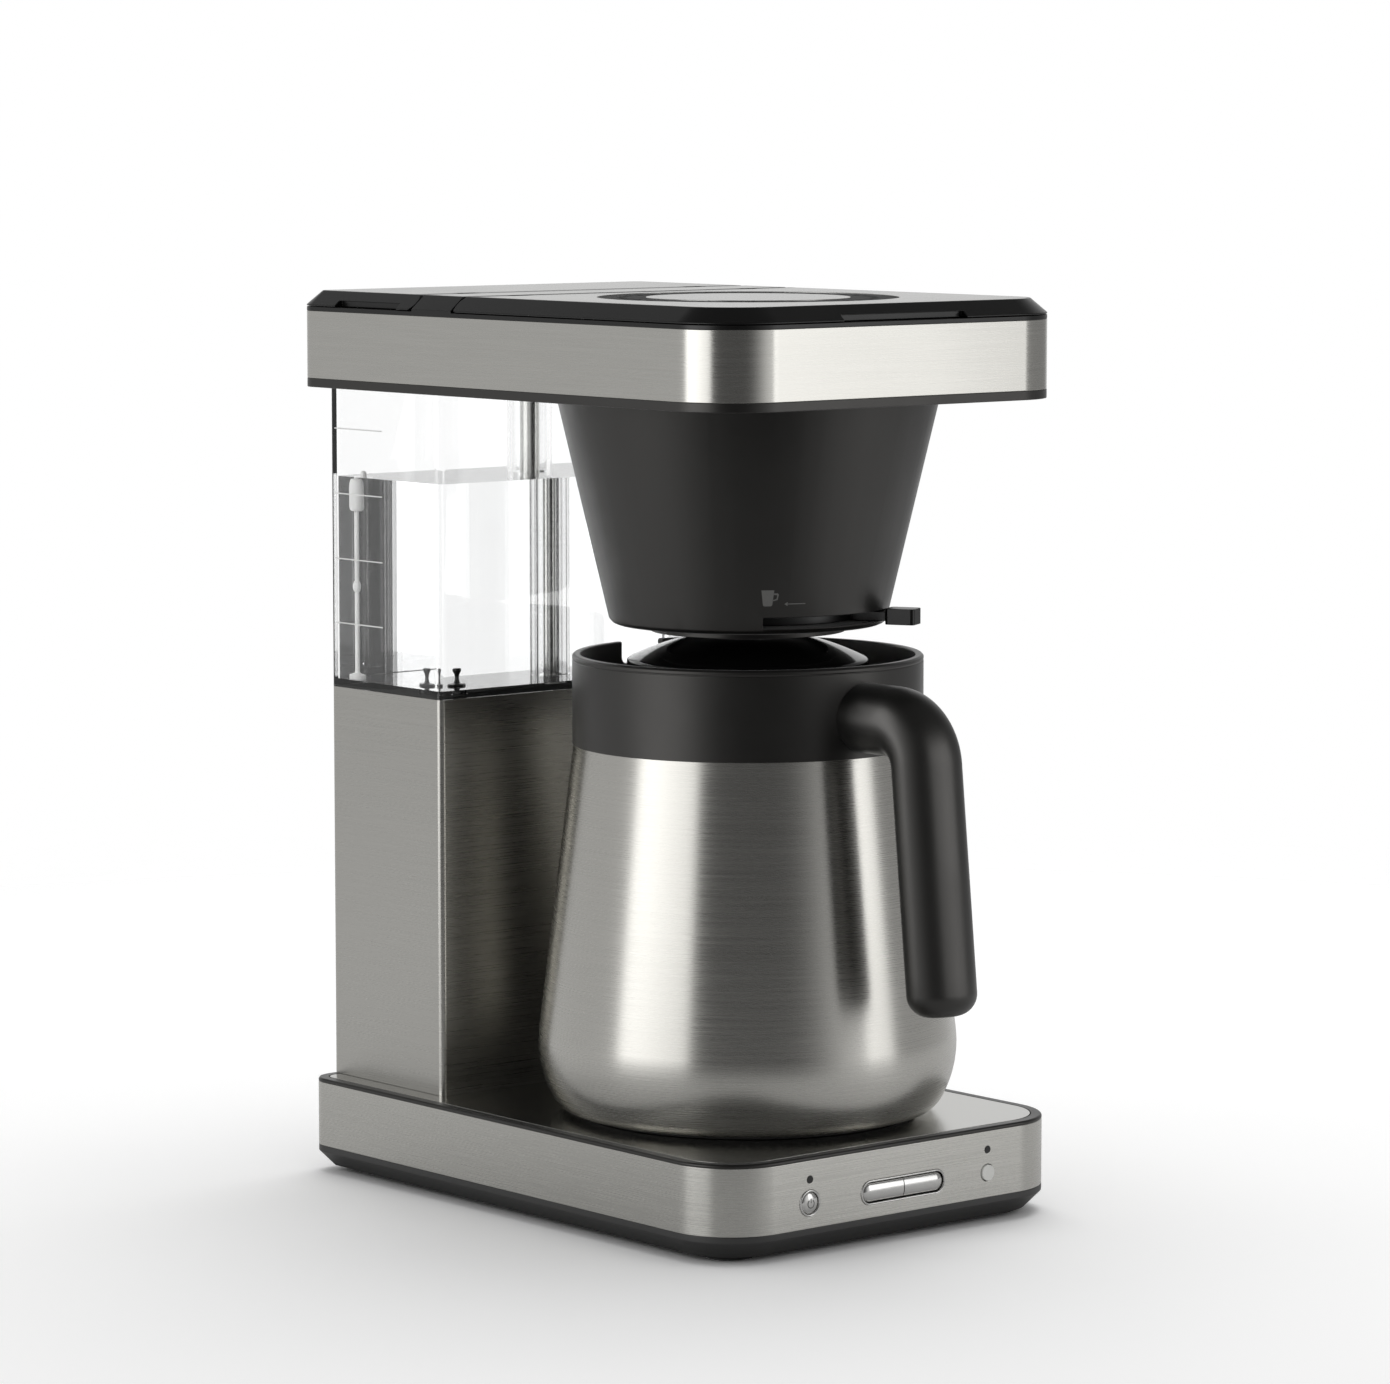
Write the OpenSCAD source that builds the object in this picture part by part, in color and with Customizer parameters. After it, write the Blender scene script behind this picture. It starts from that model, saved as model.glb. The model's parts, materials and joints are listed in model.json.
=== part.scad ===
// Drip coffee maker with a side-by-side water tank, cone basket and thermal carafe.
// X is the width, -Y the front, +Z up. The origin is on the table, in the middle of the footprint.

/* [Overall] */
// Height from the table to the lids' top
machine_h = 356; // [350:1:375]
// Width of the base and the head
body_w = 178; // [174:1:190]
// Depth of the head
head_d = 263; // [259:1:275]
// How far the base ends short of the head at the back
base_setback = 4; // [3.5:0.5:8]
// Plan radius of the front corners
front_corner_r = 27; // [22:1:32]
// Plan radius of the rear corners
rear_corner_r = 10; // [8.5:0.5:14]
// Distance of the brewing axis from the front
brew_axis_d = 89.8; // [88:0.2:92]

/* [Base] */
// Height of the feet under the tray
foot_h = 2; // [1.5:0.5:4]
// Radius of a foot
foot_r = 9; // [7:0.5:11]
// Height of the black skirt under the steel band
skirt_h = 9; // [8:0.5:12]
// How far the skirt's chamfer runs in
skirt_in = 6.5; // [4:0.5:8]
// Height of the steel band
base_band_h = 25.9; // [25:0.1:30]
// Height of the rim over the band
base_rim_h = 1.5; // [1.4:0.1:3]
// Width of the rim round the top plate
base_rim_w = 4.2; // [3.8:0.1:7]
// Thickness of the steel bands
band_t = 1.2; // [0.8:0.1:1.4]
// Wall of the tray inside the band
tray_wall = 2.2; // [2:0.1:2.6]
// Floor of the tray
tray_floor = 2.5; // [2.4:0.1:3.5]
// Thickness of the base's top plate
plate_t = 1.2; // [0.8:0.1:1.3]
// Thickness of the deck's web under the plate
deck_web = 2.3; // [1.8:0.1:3]
// Distance of the base screws from the edges
base_screw_in = 40; // [36:1:44]
// Distance of the feet from the edges
foot_in = 22; // [20:0.5:24]
// Length of a base screw's shank
base_screw_len = 22; // [18:0.5:24]

/* [Controls] */
// Height of the controls' centre line
control_z = 20.7; // [20:0.1:21.4]
// Power button's place across the front
power_x = -46.2; // [-48:0.2:-42]
// Radius of the power button
power_r = 4.2; // [3.6:0.1:4.6]
// Width of the power button's bezel ring
power_ring = 0.95; // [0.7:0.05:1.2]
// Place of the brew buttons' middle across the front
brew_button_x = 1; // [-3:0.5:4]
// Length of the brew buttons' pill with its bezel
brew_pill_l = 43.2; // [40:0.2:46]
// Height of the brew buttons' pill with its bezel
brew_pill_h = 9.6; // [9:0.1:10.4]
// Width of the pill's bezel ring
brew_ring = 0.8; // [0.6:0.05:1.1]
// Clean button's place across the front
clean_x = 44.8; // [42:0.2:48]
// Radius of the clean button
clean_r = 3.1; // [2.8:0.1:3.6]
// Height of the indicator lamps over the controls
led_rise = 9; // [8.6:0.1:9.4]
// Radius of an indicator lamp
led_r = 1.45; // [1.2:0.05:1.6]
// Travel of a button
button_travel = 1; // [0.8:0.1:1.2]
// How far a button stands proud
button_proud = 0.7; // [0.3:0.1:1]
// Radius of a button's stem
stem_r = 1.8; // [1.4:0.1:2]
// Radial play of a stem in its guide
stem_play = 0.08; // [0.04:0.01:0.1]
// Thickness of the guide that carries the stems
guide_t = 3; // [2.5:0.1:4]
// Height of a switch on the board
switch_h = 3.5; // [3:0.1:4.5]
// Thickness of the control board
board_t = 1.6; // [1:0.1:2]

/* [Cord gland] */
// Gland's place across the back
gland_x = 50; // [40:1:58]
// Gland's height over the table
gland_z = 20; // [19:0.5:22]
// Radius of the gland's bore
gland_bore_r = 3.8; // [3:0.1:4.4]
// Wall of the gland's sleeve
gland_wall = 3; // [2:0.1:3.4]
// Length of the gland's sleeve inside the skin
gland_len = 11; // [9:0.5:14]
// Thickness of the gland's flange
gland_flange = 2; // [1.5:0.1:3]

/* [Column] */
// How far the column and the tank stand in from the base's sides
column_in = 12.7; // [12:0.1:15]
// Depth of the column and the tank
column_d = 72.2; // [71:0.2:75]
// Height of the column over the base
column_h = 158.1; // [150:0.5:166]
// Plan radius of the column's corners
column_r = 2.5; // [1.6:0.1:4]
// Thickness of the column's sheet
column_t = 1; // [0.8:0.1:1.4]
// Width of the sheet's flange beside the back cover
column_flange = 10; // [8:0.5:14]
// Thickness of the back cover and of the shelf
cover_t = 3; // [2.4:0.1:3.6]

/* [Tank] */
// Wall of the clear tank
tank_wall = 2.4; // [2:0.1:3]
// Floor of the clear tank
tank_floor = 3.2; // [2.6:0.1:4]
// Outer radius of the riser's shroud
shroud_r = 9.1; // [8.6:0.1:10]
// Wall of the riser's shroud
shroud_wall = 1.8; // [1.4:0.1:2.2]
// Distance of the outlet from the tank's outer side
outlet_side = 20; // [18:0.1:21]
// Distance of the outlet from the tank's front
outlet_front = 23; // [22:0.1:25]
// Radius of the outlet fitting
outlet_r = 3.2; // [2.6:0.1:4]
// Distance of the float's guide from the tank's outer corner
float_in = 10.4; // [10:0.1:12]
// Radius of the float
float_r = 5.6; // [5:0.1:6.4]
// Height of the float
float_h = 13; // [10:0.5:16]
// Radius of the float's guide rod
guide_r = 2.2; // [1.8:0.1:2.6]
// Height of the float's top over the tank's base when full
float_z = 84; // [80:1:90]
// Play of the float round its guide
float_play = 0.5; // [0.3:0.05:0.8]

/* [Water path] */
// Outer radius of the riser and the spout
riser_r = 4; // [3.4:0.1:4.6]
// Bore radius of the riser and the spout
riser_bore = 2.6; // [2:0.1:2.8]
// Bend radius of the spout
spout_bend = 9; // [8:0.5:12]
// Height of the spout's axis under the lids' top
spout_drop = 16; // [15:0.5:17]
// Room on each side of the boiler in the column
boiler_side = 45.3; // [44:0.1:50]
// Depth of the boiler
boiler_d = 46; // [44:1:48]
// Height of the boiler
boiler_h = 74; // [60:1:86]
// Height of the posts under the boiler
boiler_post = 7; // [5:0.5:10]
// Radius of the hose
hose_r = 5; // [4:0.1:5]
// Bend radius of the hose
hose_bend = 14; // [11:0.5:16]
// Height of the hose's run over the bracket
hose_rise = 22; // [20:0.5:26]
// Radius of the check valve
valve_r = 7; // [6:0.1:8]
// Length of the check valve
valve_len = 33; // [26:0.5:40]

/* [Head] */
// Height of the black lip under the head's band
lip_h = 3.6; // [3.4:0.1:5]
// Height of the head's steel band
head_band_h = 26.8; // [25:0.2:30]
// Thickness of the fixed rim over the band
rim_t = 1.7; // [1.4:0.1:2.4]
// Width of the fixed rim
rim_w = 9; // [8:0.5:10]
// Thickness of the lids
lid_t = 6; // [5.8:0.1:7]
// How far the lids' chamfer runs in
lid_in = 6.5; // [5:0.5:7]
// Distance of the bridge behind the brewing axis
bridge_behind = 72.7; // [72:0.1:74]
// Depth of the fixed bridge between the lids
bridge_d = 25; // [23:0.5:26]
// Play between a lid and its neighbours
lid_play = 0.4; // [0.3:0.05:0.6]
// Thickness of the lids' steel sheets
sheet_t = 0.8; // [0.6:0.05:1]
// Width of the black edge round a lid's sheet
sheet_in = 1.2; // [0.8:0.1:2]
// Radius of the lids' hinge pins
pin_r = 1.2; // [1:0.05:1.4]
// Radial play of a pin in its lid
pin_play = 0.06; // [0.03:0.01:0.1]
// Half the length of a hinge pin
pin_half = 70; // [66:1:74]
// Width of a hinge lug
lug_w = 10; // [8:0.5:12]
// Distance of a hinge lug from the middle
lug_x = 58; // [54:1:62]
// Outer radius of the lid's vent ring
vent_r = 58.5; // [56:0.5:60]
// Inner radius of the lid's vent ring
vent_inner_r = 39.5; // [38:0.5:42]
// Holes in the vent ring
vent_holes = 36; // [24:1:40]
// Radius of a hole in the vent ring
vent_hole_r = 1.9; // [1.4:0.1:2.1]

/* [Shower] */
// Radius of the shower head
shower_r = 42; // [38:0.5:46]
// Thickness of the shower head
shower_t = 8; // [7.6:0.2:10]
// Distance of the shower's underside from the lids' top
shower_drop = 26; // [25:0.5:27]
// Radius of the shower's neck
shower_neck_r = 14; // [12:0.5:16]
// Radius of a hole in the shower
shower_hole_r = 1.1; // [0.8:0.1:1.4]
// Gap between the spout's end and the shower's inlet
spout_gap = 1.2; // [0.8:0.1:1.6]

/* [Basket] */
// Radius of the cone at the head's underside
basket_top_r = 74.2; // [72:0.2:74.4]
// Radius of the cone at its foot
basket_foot_r = 53.5; // [51:0.5:56]
// Wall of the basket
basket_wall = 2.5; // [2:0.1:3]
// Height of the valve space in the basket's foot
valve_space = 4.4; // [4:0.1:5]
// Floor of the basket
basket_floor = 2.6; // [2.2:0.1:3.2]
// Thickness of the basket's base plate
basket_base_t = 2.2; // [1.8:0.1:3]
// Depth of the ring under the basket
basket_ring_h = 3; // [2.4:0.1:4]
// Outer radius of the ring under the basket
basket_ring_r = 38; // [34:0.5:42]
// Width of the ring under the basket
basket_ring_w = 4; // [3:0.5:5]
// Thickness of the basket's top flange
flange_t = 2.4; // [2:0.1:3]
// Radius of the outlet in the basket
drain_r = 4.5; // [3.6:0.1:5]
// Wall of the outlet's stub
drain_wall = 2.5; // [2:0.1:3]
// Ribs inside the basket
basket_ribs = 16; // [12:1:20]
// Height of a rib off the wall
rib_h = 2.4; // [1.8:0.1:3]
// Play of the basket in the head
basket_play = 0.6; // [0.4:0.1:1]

/* [Drip lever] */
// Travel of the lever in degrees
lever_travel = 58; // [50:1:62]
// Thickness of the lever's blade
lever_t = 3.6; // [3:0.1:3.6]
// Width of the lever's arm
lever_w = 8; // [6:0.5:10]
// Radius of the lever's disc
lever_disc_r = 44; // [40:0.5:45]
// Reach of the lever's knob from the axis
lever_reach = 69.5; // [68:0.5:72]
// Length of the lever's knob
knob_l = 12; // [10:0.5:12.5]
// Width of the lever's knob
knob_w = 9.5; // [8:0.5:11]
// Height of the lever's knob
knob_h = 6.2; // [5.6:0.1:7]

/* [Carafe] */
// Height of the carafe's steel body
carafe_body_h = 144.3; // [140:0.5:148]
// Height of the black collar
collar_h = 35; // [34:0.5:38]
// Widest radius of the carafe
carafe_r = 81.8; // [80:0.2:83]
// Height of the widest place over the carafe's foot
carafe_belly_z = 27.3; // [25:0.5:30]
// Radius of the belly's side curve
belly_curve = 44; // [40:1:46]
// Radius of the carafe's foot fillet
carafe_fillet = 12; // [10:0.5:14]
// Radius of the steel neck
neck_r = 67.8; // [66:0.2:68]
// Height of the straight steel under the collar
neck_h = 7; // [5:0.5:10]
// Radius of the collar
collar_r = 68.3; // [68.1:0.1:69]
// Wall of the steel shell and liner
steel_t = 0.9; // [0.7:0.05:1.2]
// Vacuum gap between the shell and the liner
vacuum_gap = 5; // [4:0.5:6]
// Step of the neck under the collar
neck_step = 3.4; // [3:0.1:4]
// Height of the neck inside the collar
neck_in_h = 17; // [15:0.5:18]
// Thickness of the disc under the carafe
carafe_foot_t = 2; // [1.5:0.1:3]
// Wall of the collar over its ledge
collar_wall = 3.2; // [2.8:0.1:3.6]
// Thickness of the collar's ledge
ledge_t = 3; // [2.4:0.1:3.4]
// Width of the pouring notch
notch_w = 21; // [16:0.5:26]
// Depth of the pouring notch
notch_d = 9; // [7:0.5:10]
// Gap between the carafe and the plate or the lid and the basket's ring
seat_gap = 0.3; // [0.2:0.05:0.4]
// Gap between the lid's top and the basket's ring
brew_gap = 2; // [1:0.1:4]

/* [Handle] */
// Radius of the handle's section
grip_r = 13.4; // [12:0.2:14]
// Outward lean of the grip in degrees
grip_lean = 6; // [3:0.5:8]
// Distance of the grip's foot from the carafe's axis
grip_out = 112.7; // [110:0.5:116]
// Height of the grip's foot over the plate
grip_foot_z = 51; // [46:0.5:60]
// Round of the grip's foot
grip_round = 6; // [4:0.5:8]
// Depth of the arm's axis under the collar's top
arm_drop = 19.5; // [18:0.5:20]
// Bend radius of the handle's axis
handle_bend = 17; // [15:0.5:20]
// Radius of a handle screw
handle_screw_r = 2; // [1.6:0.1:2.2]
// Length of a handle screw
handle_screw_len = 14; // [10:0.5:16]
// Half the spacing of the handle screws
handle_screw_x = 6; // [5:0.5:7]

/* [Carafe lid] */
// Radius of the lid's dome
dome_r = 47; // [44:0.5:50]
// Height of the dome's edge under its top
dome_drop = 9; // [8:0.5:10]
// Radius of the dome's flat top
dome_top_r = 19; // [16:0.5:22]
// Height of the dome's top over the collar
dome_over = 7; // [6:0.5:8]
// Thickness of the lid's walls
lid_wall = 2.2; // [1.8:0.1:2.6]
// Play between the lid and the collar
lid_fit = 0.5; // [0.3:0.05:0.7]
// Radius of the brewing hole in the lid
lid_hole_r = 8; // [6:0.5:9]
// Length of the brewing tube under the lid
lid_tube_len = 40; // [30:1:60]
// Turn of the lid between open and closed in degrees
lid_turn = 60; // [45:1:75]

/* [Hidden] */
$fn = 96;
eps = 0.01;
white = [0.93, 0.93, 0.9];
black = [0.09, 0.09, 0.09];
soft_black = [0.14, 0.14, 0.14];
steel = [0.66, 0.66, 0.64];
bright = [0.85, 0.85, 0.84];
clear = [0.85, 0.9, 0.92, 0.3];
alloy = [0.74, 0.75, 0.76];
board_green = [0.1, 0.35, 0.2];

head_front = -head_d / 2;
head_rear = head_d / 2;
base_front = head_front;
base_rear = head_rear - base_setback;
brew_y = head_front + brew_axis_d;
column_front = base_rear - column_d;
bridge_front = brew_y + bridge_behind;
bridge_rear = bridge_front + bridge_d;

skirt_top = foot_h + skirt_h;
skirt_edge = 2.5;
base_band_top = skirt_top + base_band_h;
base_top = base_band_top + base_rim_h;
plate_z = base_top - plate_t;
deck_z = plate_z - deck_web;
tray_top = foot_h + tray_floor;
skin = band_t + tray_wall;
rim_round = 0.6;
plate_groove = 0.4;

column_w = body_w - 2 * column_in;
boiler_w = column_w - 2 * boiler_side;
column_top = base_top + column_h;
shelf_z = column_top - cover_t;
head_bottom = machine_h - lid_t - seat_gap - rim_t - head_band_h - lip_h;
head_band_z = head_bottom + lip_h;
rim_z = head_band_z + head_band_h;
lid_z = machine_h - lid_t;
tray_t = 3;
head_floor = head_bottom + tray_t;
hinge_r = lid_t / 2;
hinge_z = lid_z + hinge_r;
tank_hinge_y = bridge_rear + lid_play + hinge_r;
brew_hinge_y = bridge_front - lid_play - hinge_r;

riser_x = 0;
riser_setback = 4;
riser_y = column_front + column_d / 2 + riser_setback;
spout_z = machine_h - spout_drop;
outlet_x = -column_w / 2 + outlet_side;
outlet_y = column_front + outlet_front;
guide_x = -column_w / 2 + float_in;
guide_y = base_rear - float_in;
float_top = column_top + float_z;
guide_over = 3;
guide_top = float_top + guide_over;

bracket_t = 2;
bracket_side = 4;
bracket_end = 3;
post_in = 8;
post_r = 4;
bracket_top = plate_z + bracket_t;
boiler_z = bracket_top + boiler_post;
boiler_top = boiler_z + boiler_h;
boiler_y = riser_y;
hose_z = bracket_top + hose_rise;
stub_l = 8;
boiler_corner = 6;
boiler_stub_h = 6;
boiler_stub_wall = 2;
boiler_bore = 10;
thermostat_r = 8;
thermostat_t = 5;

carafe_z = base_top + seat_gap;
collar_z = carafe_z + carafe_body_h;
collar_top = collar_z + collar_h;
carafe_top = collar_top + dome_over;
basket_ring_z = carafe_top + brew_gap;
basket_z = basket_ring_z + basket_ring_h;
valve_z = basket_z + basket_base_t;
basket_floor_z = valve_z + valve_space;
basket_in_z = basket_floor_z + basket_floor;
basket_slope = (basket_top_r - basket_foot_r) / (head_bottom - basket_z);
basket_hole_r = basket_top_r + basket_slope * tray_t + basket_play;
flange_lap = 3;
flange_r = basket_hole_r + flange_lap;
drain_out_r = drain_r + drain_wall;
foot_round = 3;

lever_z = valve_z + (valve_space - lever_t) / 2;
lever_rest = -90 + lever_travel / 2;
lever_angle = asin(lever_w / 2 / basket_foot_r);
slot_extra = 1.4;
slot_half = lever_travel / 2 + lever_angle + slot_extra;
lever_play = 0.08;

neck_in_r = neck_r - neck_step;
neck_top = collar_z + neck_in_h;
ledge_top = neck_top + ledge_t;
ledge_r = neck_in_r - 3;
mouth_r = neck_in_r - vacuum_gap;
lid_rim_r = collar_r - collar_wall - lid_fit;
dome_edge_z = carafe_top - dome_drop;
lid_z0 = ledge_top + seat_gap;

arm_z = collar_top - arm_drop;
grip_z = base_top + grip_foot_z;
handle_front = grip_out + (grip_r - grip_round) * cos(grip_lean) - grip_round * sin(grip_lean) + grip_round;
front_reach = max(handle_front - brew_y, head_d / 2);
y_shift = (front_reach - head_rear) / 2;

guide_front = base_front + skin;
switch_room = 1.4;
switch_w = 6;
plunger_r = 1.5;
plunger_h = 1;
board_y = guide_front + guide_t + button_travel + switch_room + switch_h;
stem_end = board_y - switch_h - button_travel - seat_gap;
button_back = base_front + band_t + 0.6;
bezel_proud = 0.4;
led_proud = 0.2;
window_play = 0.7;
carrier_half = 57;
carrier_leg = 4;
carrier_z = skirt_top + 1.6;
carrier_h = deck_z - 0.7 - carrier_z;

// Moves a piece from the machine's own middle to the middle of the whole footprint.
module framed() {
    translate([0, y_shift, 0])
        children();
}

// A plan with round corners: front radius rf, rear radius rr.
module plan(w, front, rear, rf, rr) {
    translate([-w / 2, front + rf])
        square([w, rear - front - rf - rr]);
    translate([-w / 2 + rf, front])
        square([w - 2 * rf, rear - front - rr]);
    translate([-w / 2 + rr, front + rf])
        square([w - 2 * rr, rear - front - rf]);
    for (side = [-1, 1]) {
        translate([side * (w / 2 - rf), front + rf])
            circle(r = rf);
        translate([side * (w / 2 - rr), rear - rr])
            circle(r = rr);
    }
}

// The body's plan, set in by d from its outline.
module body_plan(d, rear = head_rear) {
    plan(body_w - 2 * d, head_front + d, rear - d, max(front_corner_r - d, 0.6), max(rear_corner_r - d, 0.6));
}

module body_slab(z0, z1, d, rear = head_rear) {
    translate([0, 0, z0])
        linear_extrude(z1 - z0)
            body_plan(d, rear);
}

// The body's plan as a slab whose sides lean from inset d0 below to inset d1 above.
module leaning_slab(z0, z1, d0, d1, rear = head_rear) {
    h = z1 - z0;
    middle = (head_front + rear) / 2;
    translate([0, 0, z0]) {
        translate([0, rear - rear_corner_r, 0])
            rotate([90, 0, 0])
                linear_extrude(rear - head_front - front_corner_r - rear_corner_r)
                    polygon([[d0 - body_w / 2, 0], [body_w / 2 - d0, 0],
                        [body_w / 2 - d1, h], [d1 - body_w / 2, h]]);
        rotate([90, 0, 90])
            translate([0, 0, front_corner_r - body_w / 2])
                linear_extrude(body_w - 2 * front_corner_r)
                    polygon([[head_front + d0, 0], [middle, 0], [middle, h], [head_front + d1, h]]);
        rotate([90, 0, 90])
            translate([0, 0, rear_corner_r - body_w / 2])
                linear_extrude(body_w - 2 * rear_corner_r)
                    polygon([[middle, 0], [rear - d0, 0], [rear - d1, h], [middle, h]]);
        for (side = [-1, 1]) {
            translate([side * (body_w / 2 - front_corner_r), head_front + front_corner_r, 0])
                cylinder(h = h, r1 = front_corner_r - d0, r2 = front_corner_r - d1);
            translate([side * (body_w / 2 - rear_corner_r), rear - rear_corner_r, 0])
                cylinder(h = h, r1 = rear_corner_r - d0, r2 = rear_corner_r - d1);
        }
    }
}

// A round bar along +Y from a point on the front.
module bar_y(x, y0, y1, z, r) {
    translate([x, y0, z])
        rotate([-90, 0, 0])
            cylinder(h = y1 - y0, r = r);
}

module bar_x(x0, x1, y, z, r) {
    translate([x0, y, z])
        rotate([0, 90, 0])
            cylinder(h = x1 - x0, r = r);
}

// An upright pill along X, drawn from y0 to y1.
module pill_y(x, y0, y1, z, l, h) {
    translate([x, y1, z])
        rotate([90, 0, 0])
            linear_extrude(y1 - y0) {
                square([l - h, h], center = true);
                for (side = [-1, 1])
                    translate([side * (l - h) / 2, 0])
                        circle(d = h);
            }
}

module column_plan(d) {
    plan(column_w - 2 * d, column_front + d, base_rear - d, max(column_r - d, 0.5), max(column_r - d, 0.5));
}

module column_block(z0, z1, d) {
    translate([0, 0, z0])
        linear_extrude(z1 - z0)
            column_plan(d);
}

module ring_z(z0, z1, r_out, r_in) {
    translate([0, 0, z0])
        difference() {
            cylinder(h = z1 - z0, r = r_out);
            translate([0, 0, -1])
                cylinder(h = z1 - z0 + 2, r = r_in);
        }
}

module on_brew_axis() {
    translate([0, brew_y, 0])
        children();
}

// The four places that lie a set distance in from the base's corners.
module at_base_corners(d) {
    for (side = [-1, 1], y = [base_front + d, base_rear - d])
        translate([side * (body_w / 2 - d), y, 0])
            children();
}

// ---- base ----

module rubber_feet() color(soft_black) framed() {
    at_base_corners(foot_in)
        cylinder(h = foot_h + 1, r = foot_r);
}

module control_windows(y0, y1, grow) {
    bar_y(power_x, y0, y1, control_z, power_r + power_ring + grow);
    pill_y(brew_button_x, y0, y1, control_z, brew_pill_l + 2 * grow, brew_pill_h + 2 * grow);
    bar_y(clean_x, y0, y1, control_z, clean_r + seat_gap + grow);
    for (x = [power_x, clean_x])
        bar_y(x, y0, y1, control_z + led_rise, led_r + grow / 2);
}

screw_gap = 0.05;
base_screw_r = 1.7;
base_screw_head_r = 3.4;
base_screw_head_t = 0.8;
boss_r = 5;
boss_h = 14;
boss_split = foot_h + boss_h;
wire_hole_r = 6;
wire_hole_side = 14;

module base_tray() color(soft_black) framed() {
    difference() {
        union() {
            leaning_slab(foot_h, skirt_top - skirt_edge, skirt_in, 0, base_rear);
            body_slab(skirt_top - skirt_edge, skirt_top, 0, base_rear);
            body_slab(skirt_top, base_band_top, band_t, base_rear);
        }
        body_slab(skirt_top - skirt_edge, base_band_top + 1, skin, base_rear);
        body_slab(tray_top, skirt_top, skirt_in + tray_wall, base_rear);
        at_base_corners(foot_in)
            translate([0, 0, foot_h - 1])
                cylinder(h = 2, r = foot_r);
        at_base_corners(base_screw_in)
            translate([0, 0, foot_h - 1])
                cylinder(h = tray_floor + 2, r = base_screw_r + screw_gap);
        control_windows(base_front - 1, guide_front + 1, window_play);
        bar_y(gland_x, base_rear - skin - 1, base_rear + 1, gland_z, gland_bore_r + gland_wall);
    }
    difference() {
        at_base_corners(base_screw_in)
            translate([0, 0, tray_top - eps])
                cylinder(h = boss_split - tray_top + eps, r = boss_r);
        at_base_corners(base_screw_in)
            translate([0, 0, foot_h])
                cylinder(h = boss_split, r = base_screw_r + screw_gap);
    }
}

module base_screws() color(steel) framed() {
    at_base_corners(base_screw_in) {
        translate([0, 0, foot_h - base_screw_head_t])
            cylinder(h = base_screw_head_t, r = base_screw_head_r);
        translate([0, 0, foot_h - eps])
            cylinder(h = base_screw_len, r = base_screw_r);
    }
}

module base_band() color(steel) framed() {
    difference() {
        body_slab(skirt_top, base_band_top, 0, base_rear);
        body_slab(skirt_top - 1, base_band_top + 1, band_t, base_rear);
        control_windows(base_front - 1, base_front + band_t + 1, 0);
        bar_y(gland_x, base_rear - band_t - 1, base_rear + 1, gland_z, gland_bore_r + gland_wall);
    }
}

module base_deck() color(black) framed() {
    difference() {
        union() {
            body_slab(base_band_top, base_top - rim_round, 0, base_rear);
            leaning_slab(base_top - rim_round, base_top, 0, rim_round, base_rear);
            body_slab(deck_z, base_band_top + eps, skin, base_rear);
            at_base_corners(base_screw_in)
                translate([0, 0, boss_split])
                    cylinder(h = deck_z - boss_split + eps, r = boss_r);
        }
        body_slab(plate_z, base_top + 1, base_rim_w, base_rear);
        column_block(plate_z, base_top + 1, 0);
        at_base_corners(base_screw_in)
            translate([0, 0, boss_split - 1])
                cylinder(h = foot_h + base_screw_len - boss_split + 1, r = base_screw_r + screw_gap);
        translate([boiler_w / 2 + wire_hole_side, column_front + wire_hole_r + column_t + 2, deck_z - 1])
            cylinder(h = deck_web + 2, r = wire_hole_r);
    }
}

module base_plate() color(steel) framed() {
    difference() {
        body_slab(plate_z, base_top, base_rim_w + plate_groove, base_rear);
        column_block(plate_z - 1, base_top + 1, -plate_groove);
    }
}

module cord_gland() color(soft_black) framed() {
    difference() {
        union() {
            bar_y(gland_x, base_rear - gland_len, base_rear + eps, gland_z, gland_bore_r + gland_wall);
            bar_y(gland_x, base_rear, base_rear + gland_flange, gland_z, gland_bore_r + gland_wall + 2);
        }
        bar_y(gland_x, base_rear - gland_len - 1, base_rear + gland_flange + 1, gland_z, gland_bore_r);
    }
}

// ---- controls ----

button_places = [power_x, brew_button_x - brew_pill_l / 4, brew_button_x + brew_pill_l / 4, clean_x];

module button_carrier() color(soft_black) framed() {
    difference() {
        translate([-carrier_half, guide_front, carrier_z])
            cube([2 * carrier_half, guide_t, carrier_h]);
        for (x = button_places)
            bar_y(x, guide_front - 1, guide_front + guide_t + 1, control_z, stem_r + stem_play);
        for (x = [power_x, clean_x])
            bar_y(x, guide_front - 1, guide_front + guide_t + 1, control_z + led_rise, led_r);
    }
    for (side = [-1, 1])
        translate([side * (carrier_half - carrier_leg / 2) - carrier_leg / 2,
                guide_front + guide_t - eps, carrier_z])
            cube([carrier_leg, board_y - guide_front - guide_t + eps, carrier_h]);
}

module control_board() color(board_green) framed() {
    translate([-carrier_half, board_y, carrier_z])
        cube([2 * carrier_half, board_t, carrier_h]);
}

module tact_switches() color(black) framed() {
    for (x = button_places) {
        translate([x - switch_w / 2, board_y - switch_h + plunger_h, control_z - switch_w / 2])
            cube([switch_w, switch_h - plunger_h, switch_w]);
        bar_y(x, board_y - switch_h, board_y - switch_h + plunger_h + eps, control_z, plunger_r);
    }
}

module button_stem(x) {
    bar_y(x, button_back - eps, stem_end, control_z, stem_r);
}

module power_bezel() color(bright) framed() {
    difference() {
        bar_y(power_x, base_front - bezel_proud, base_front + band_t, control_z, power_r + power_ring);
        bar_y(power_x, base_front - 1, base_front + band_t + 1, control_z, power_r + seat_gap);
    }
}

module power_button() color(bright) framed() {
    bar_y(power_x, base_front - button_proud, button_back, control_z, power_r);
    button_stem(power_x);
}

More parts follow.
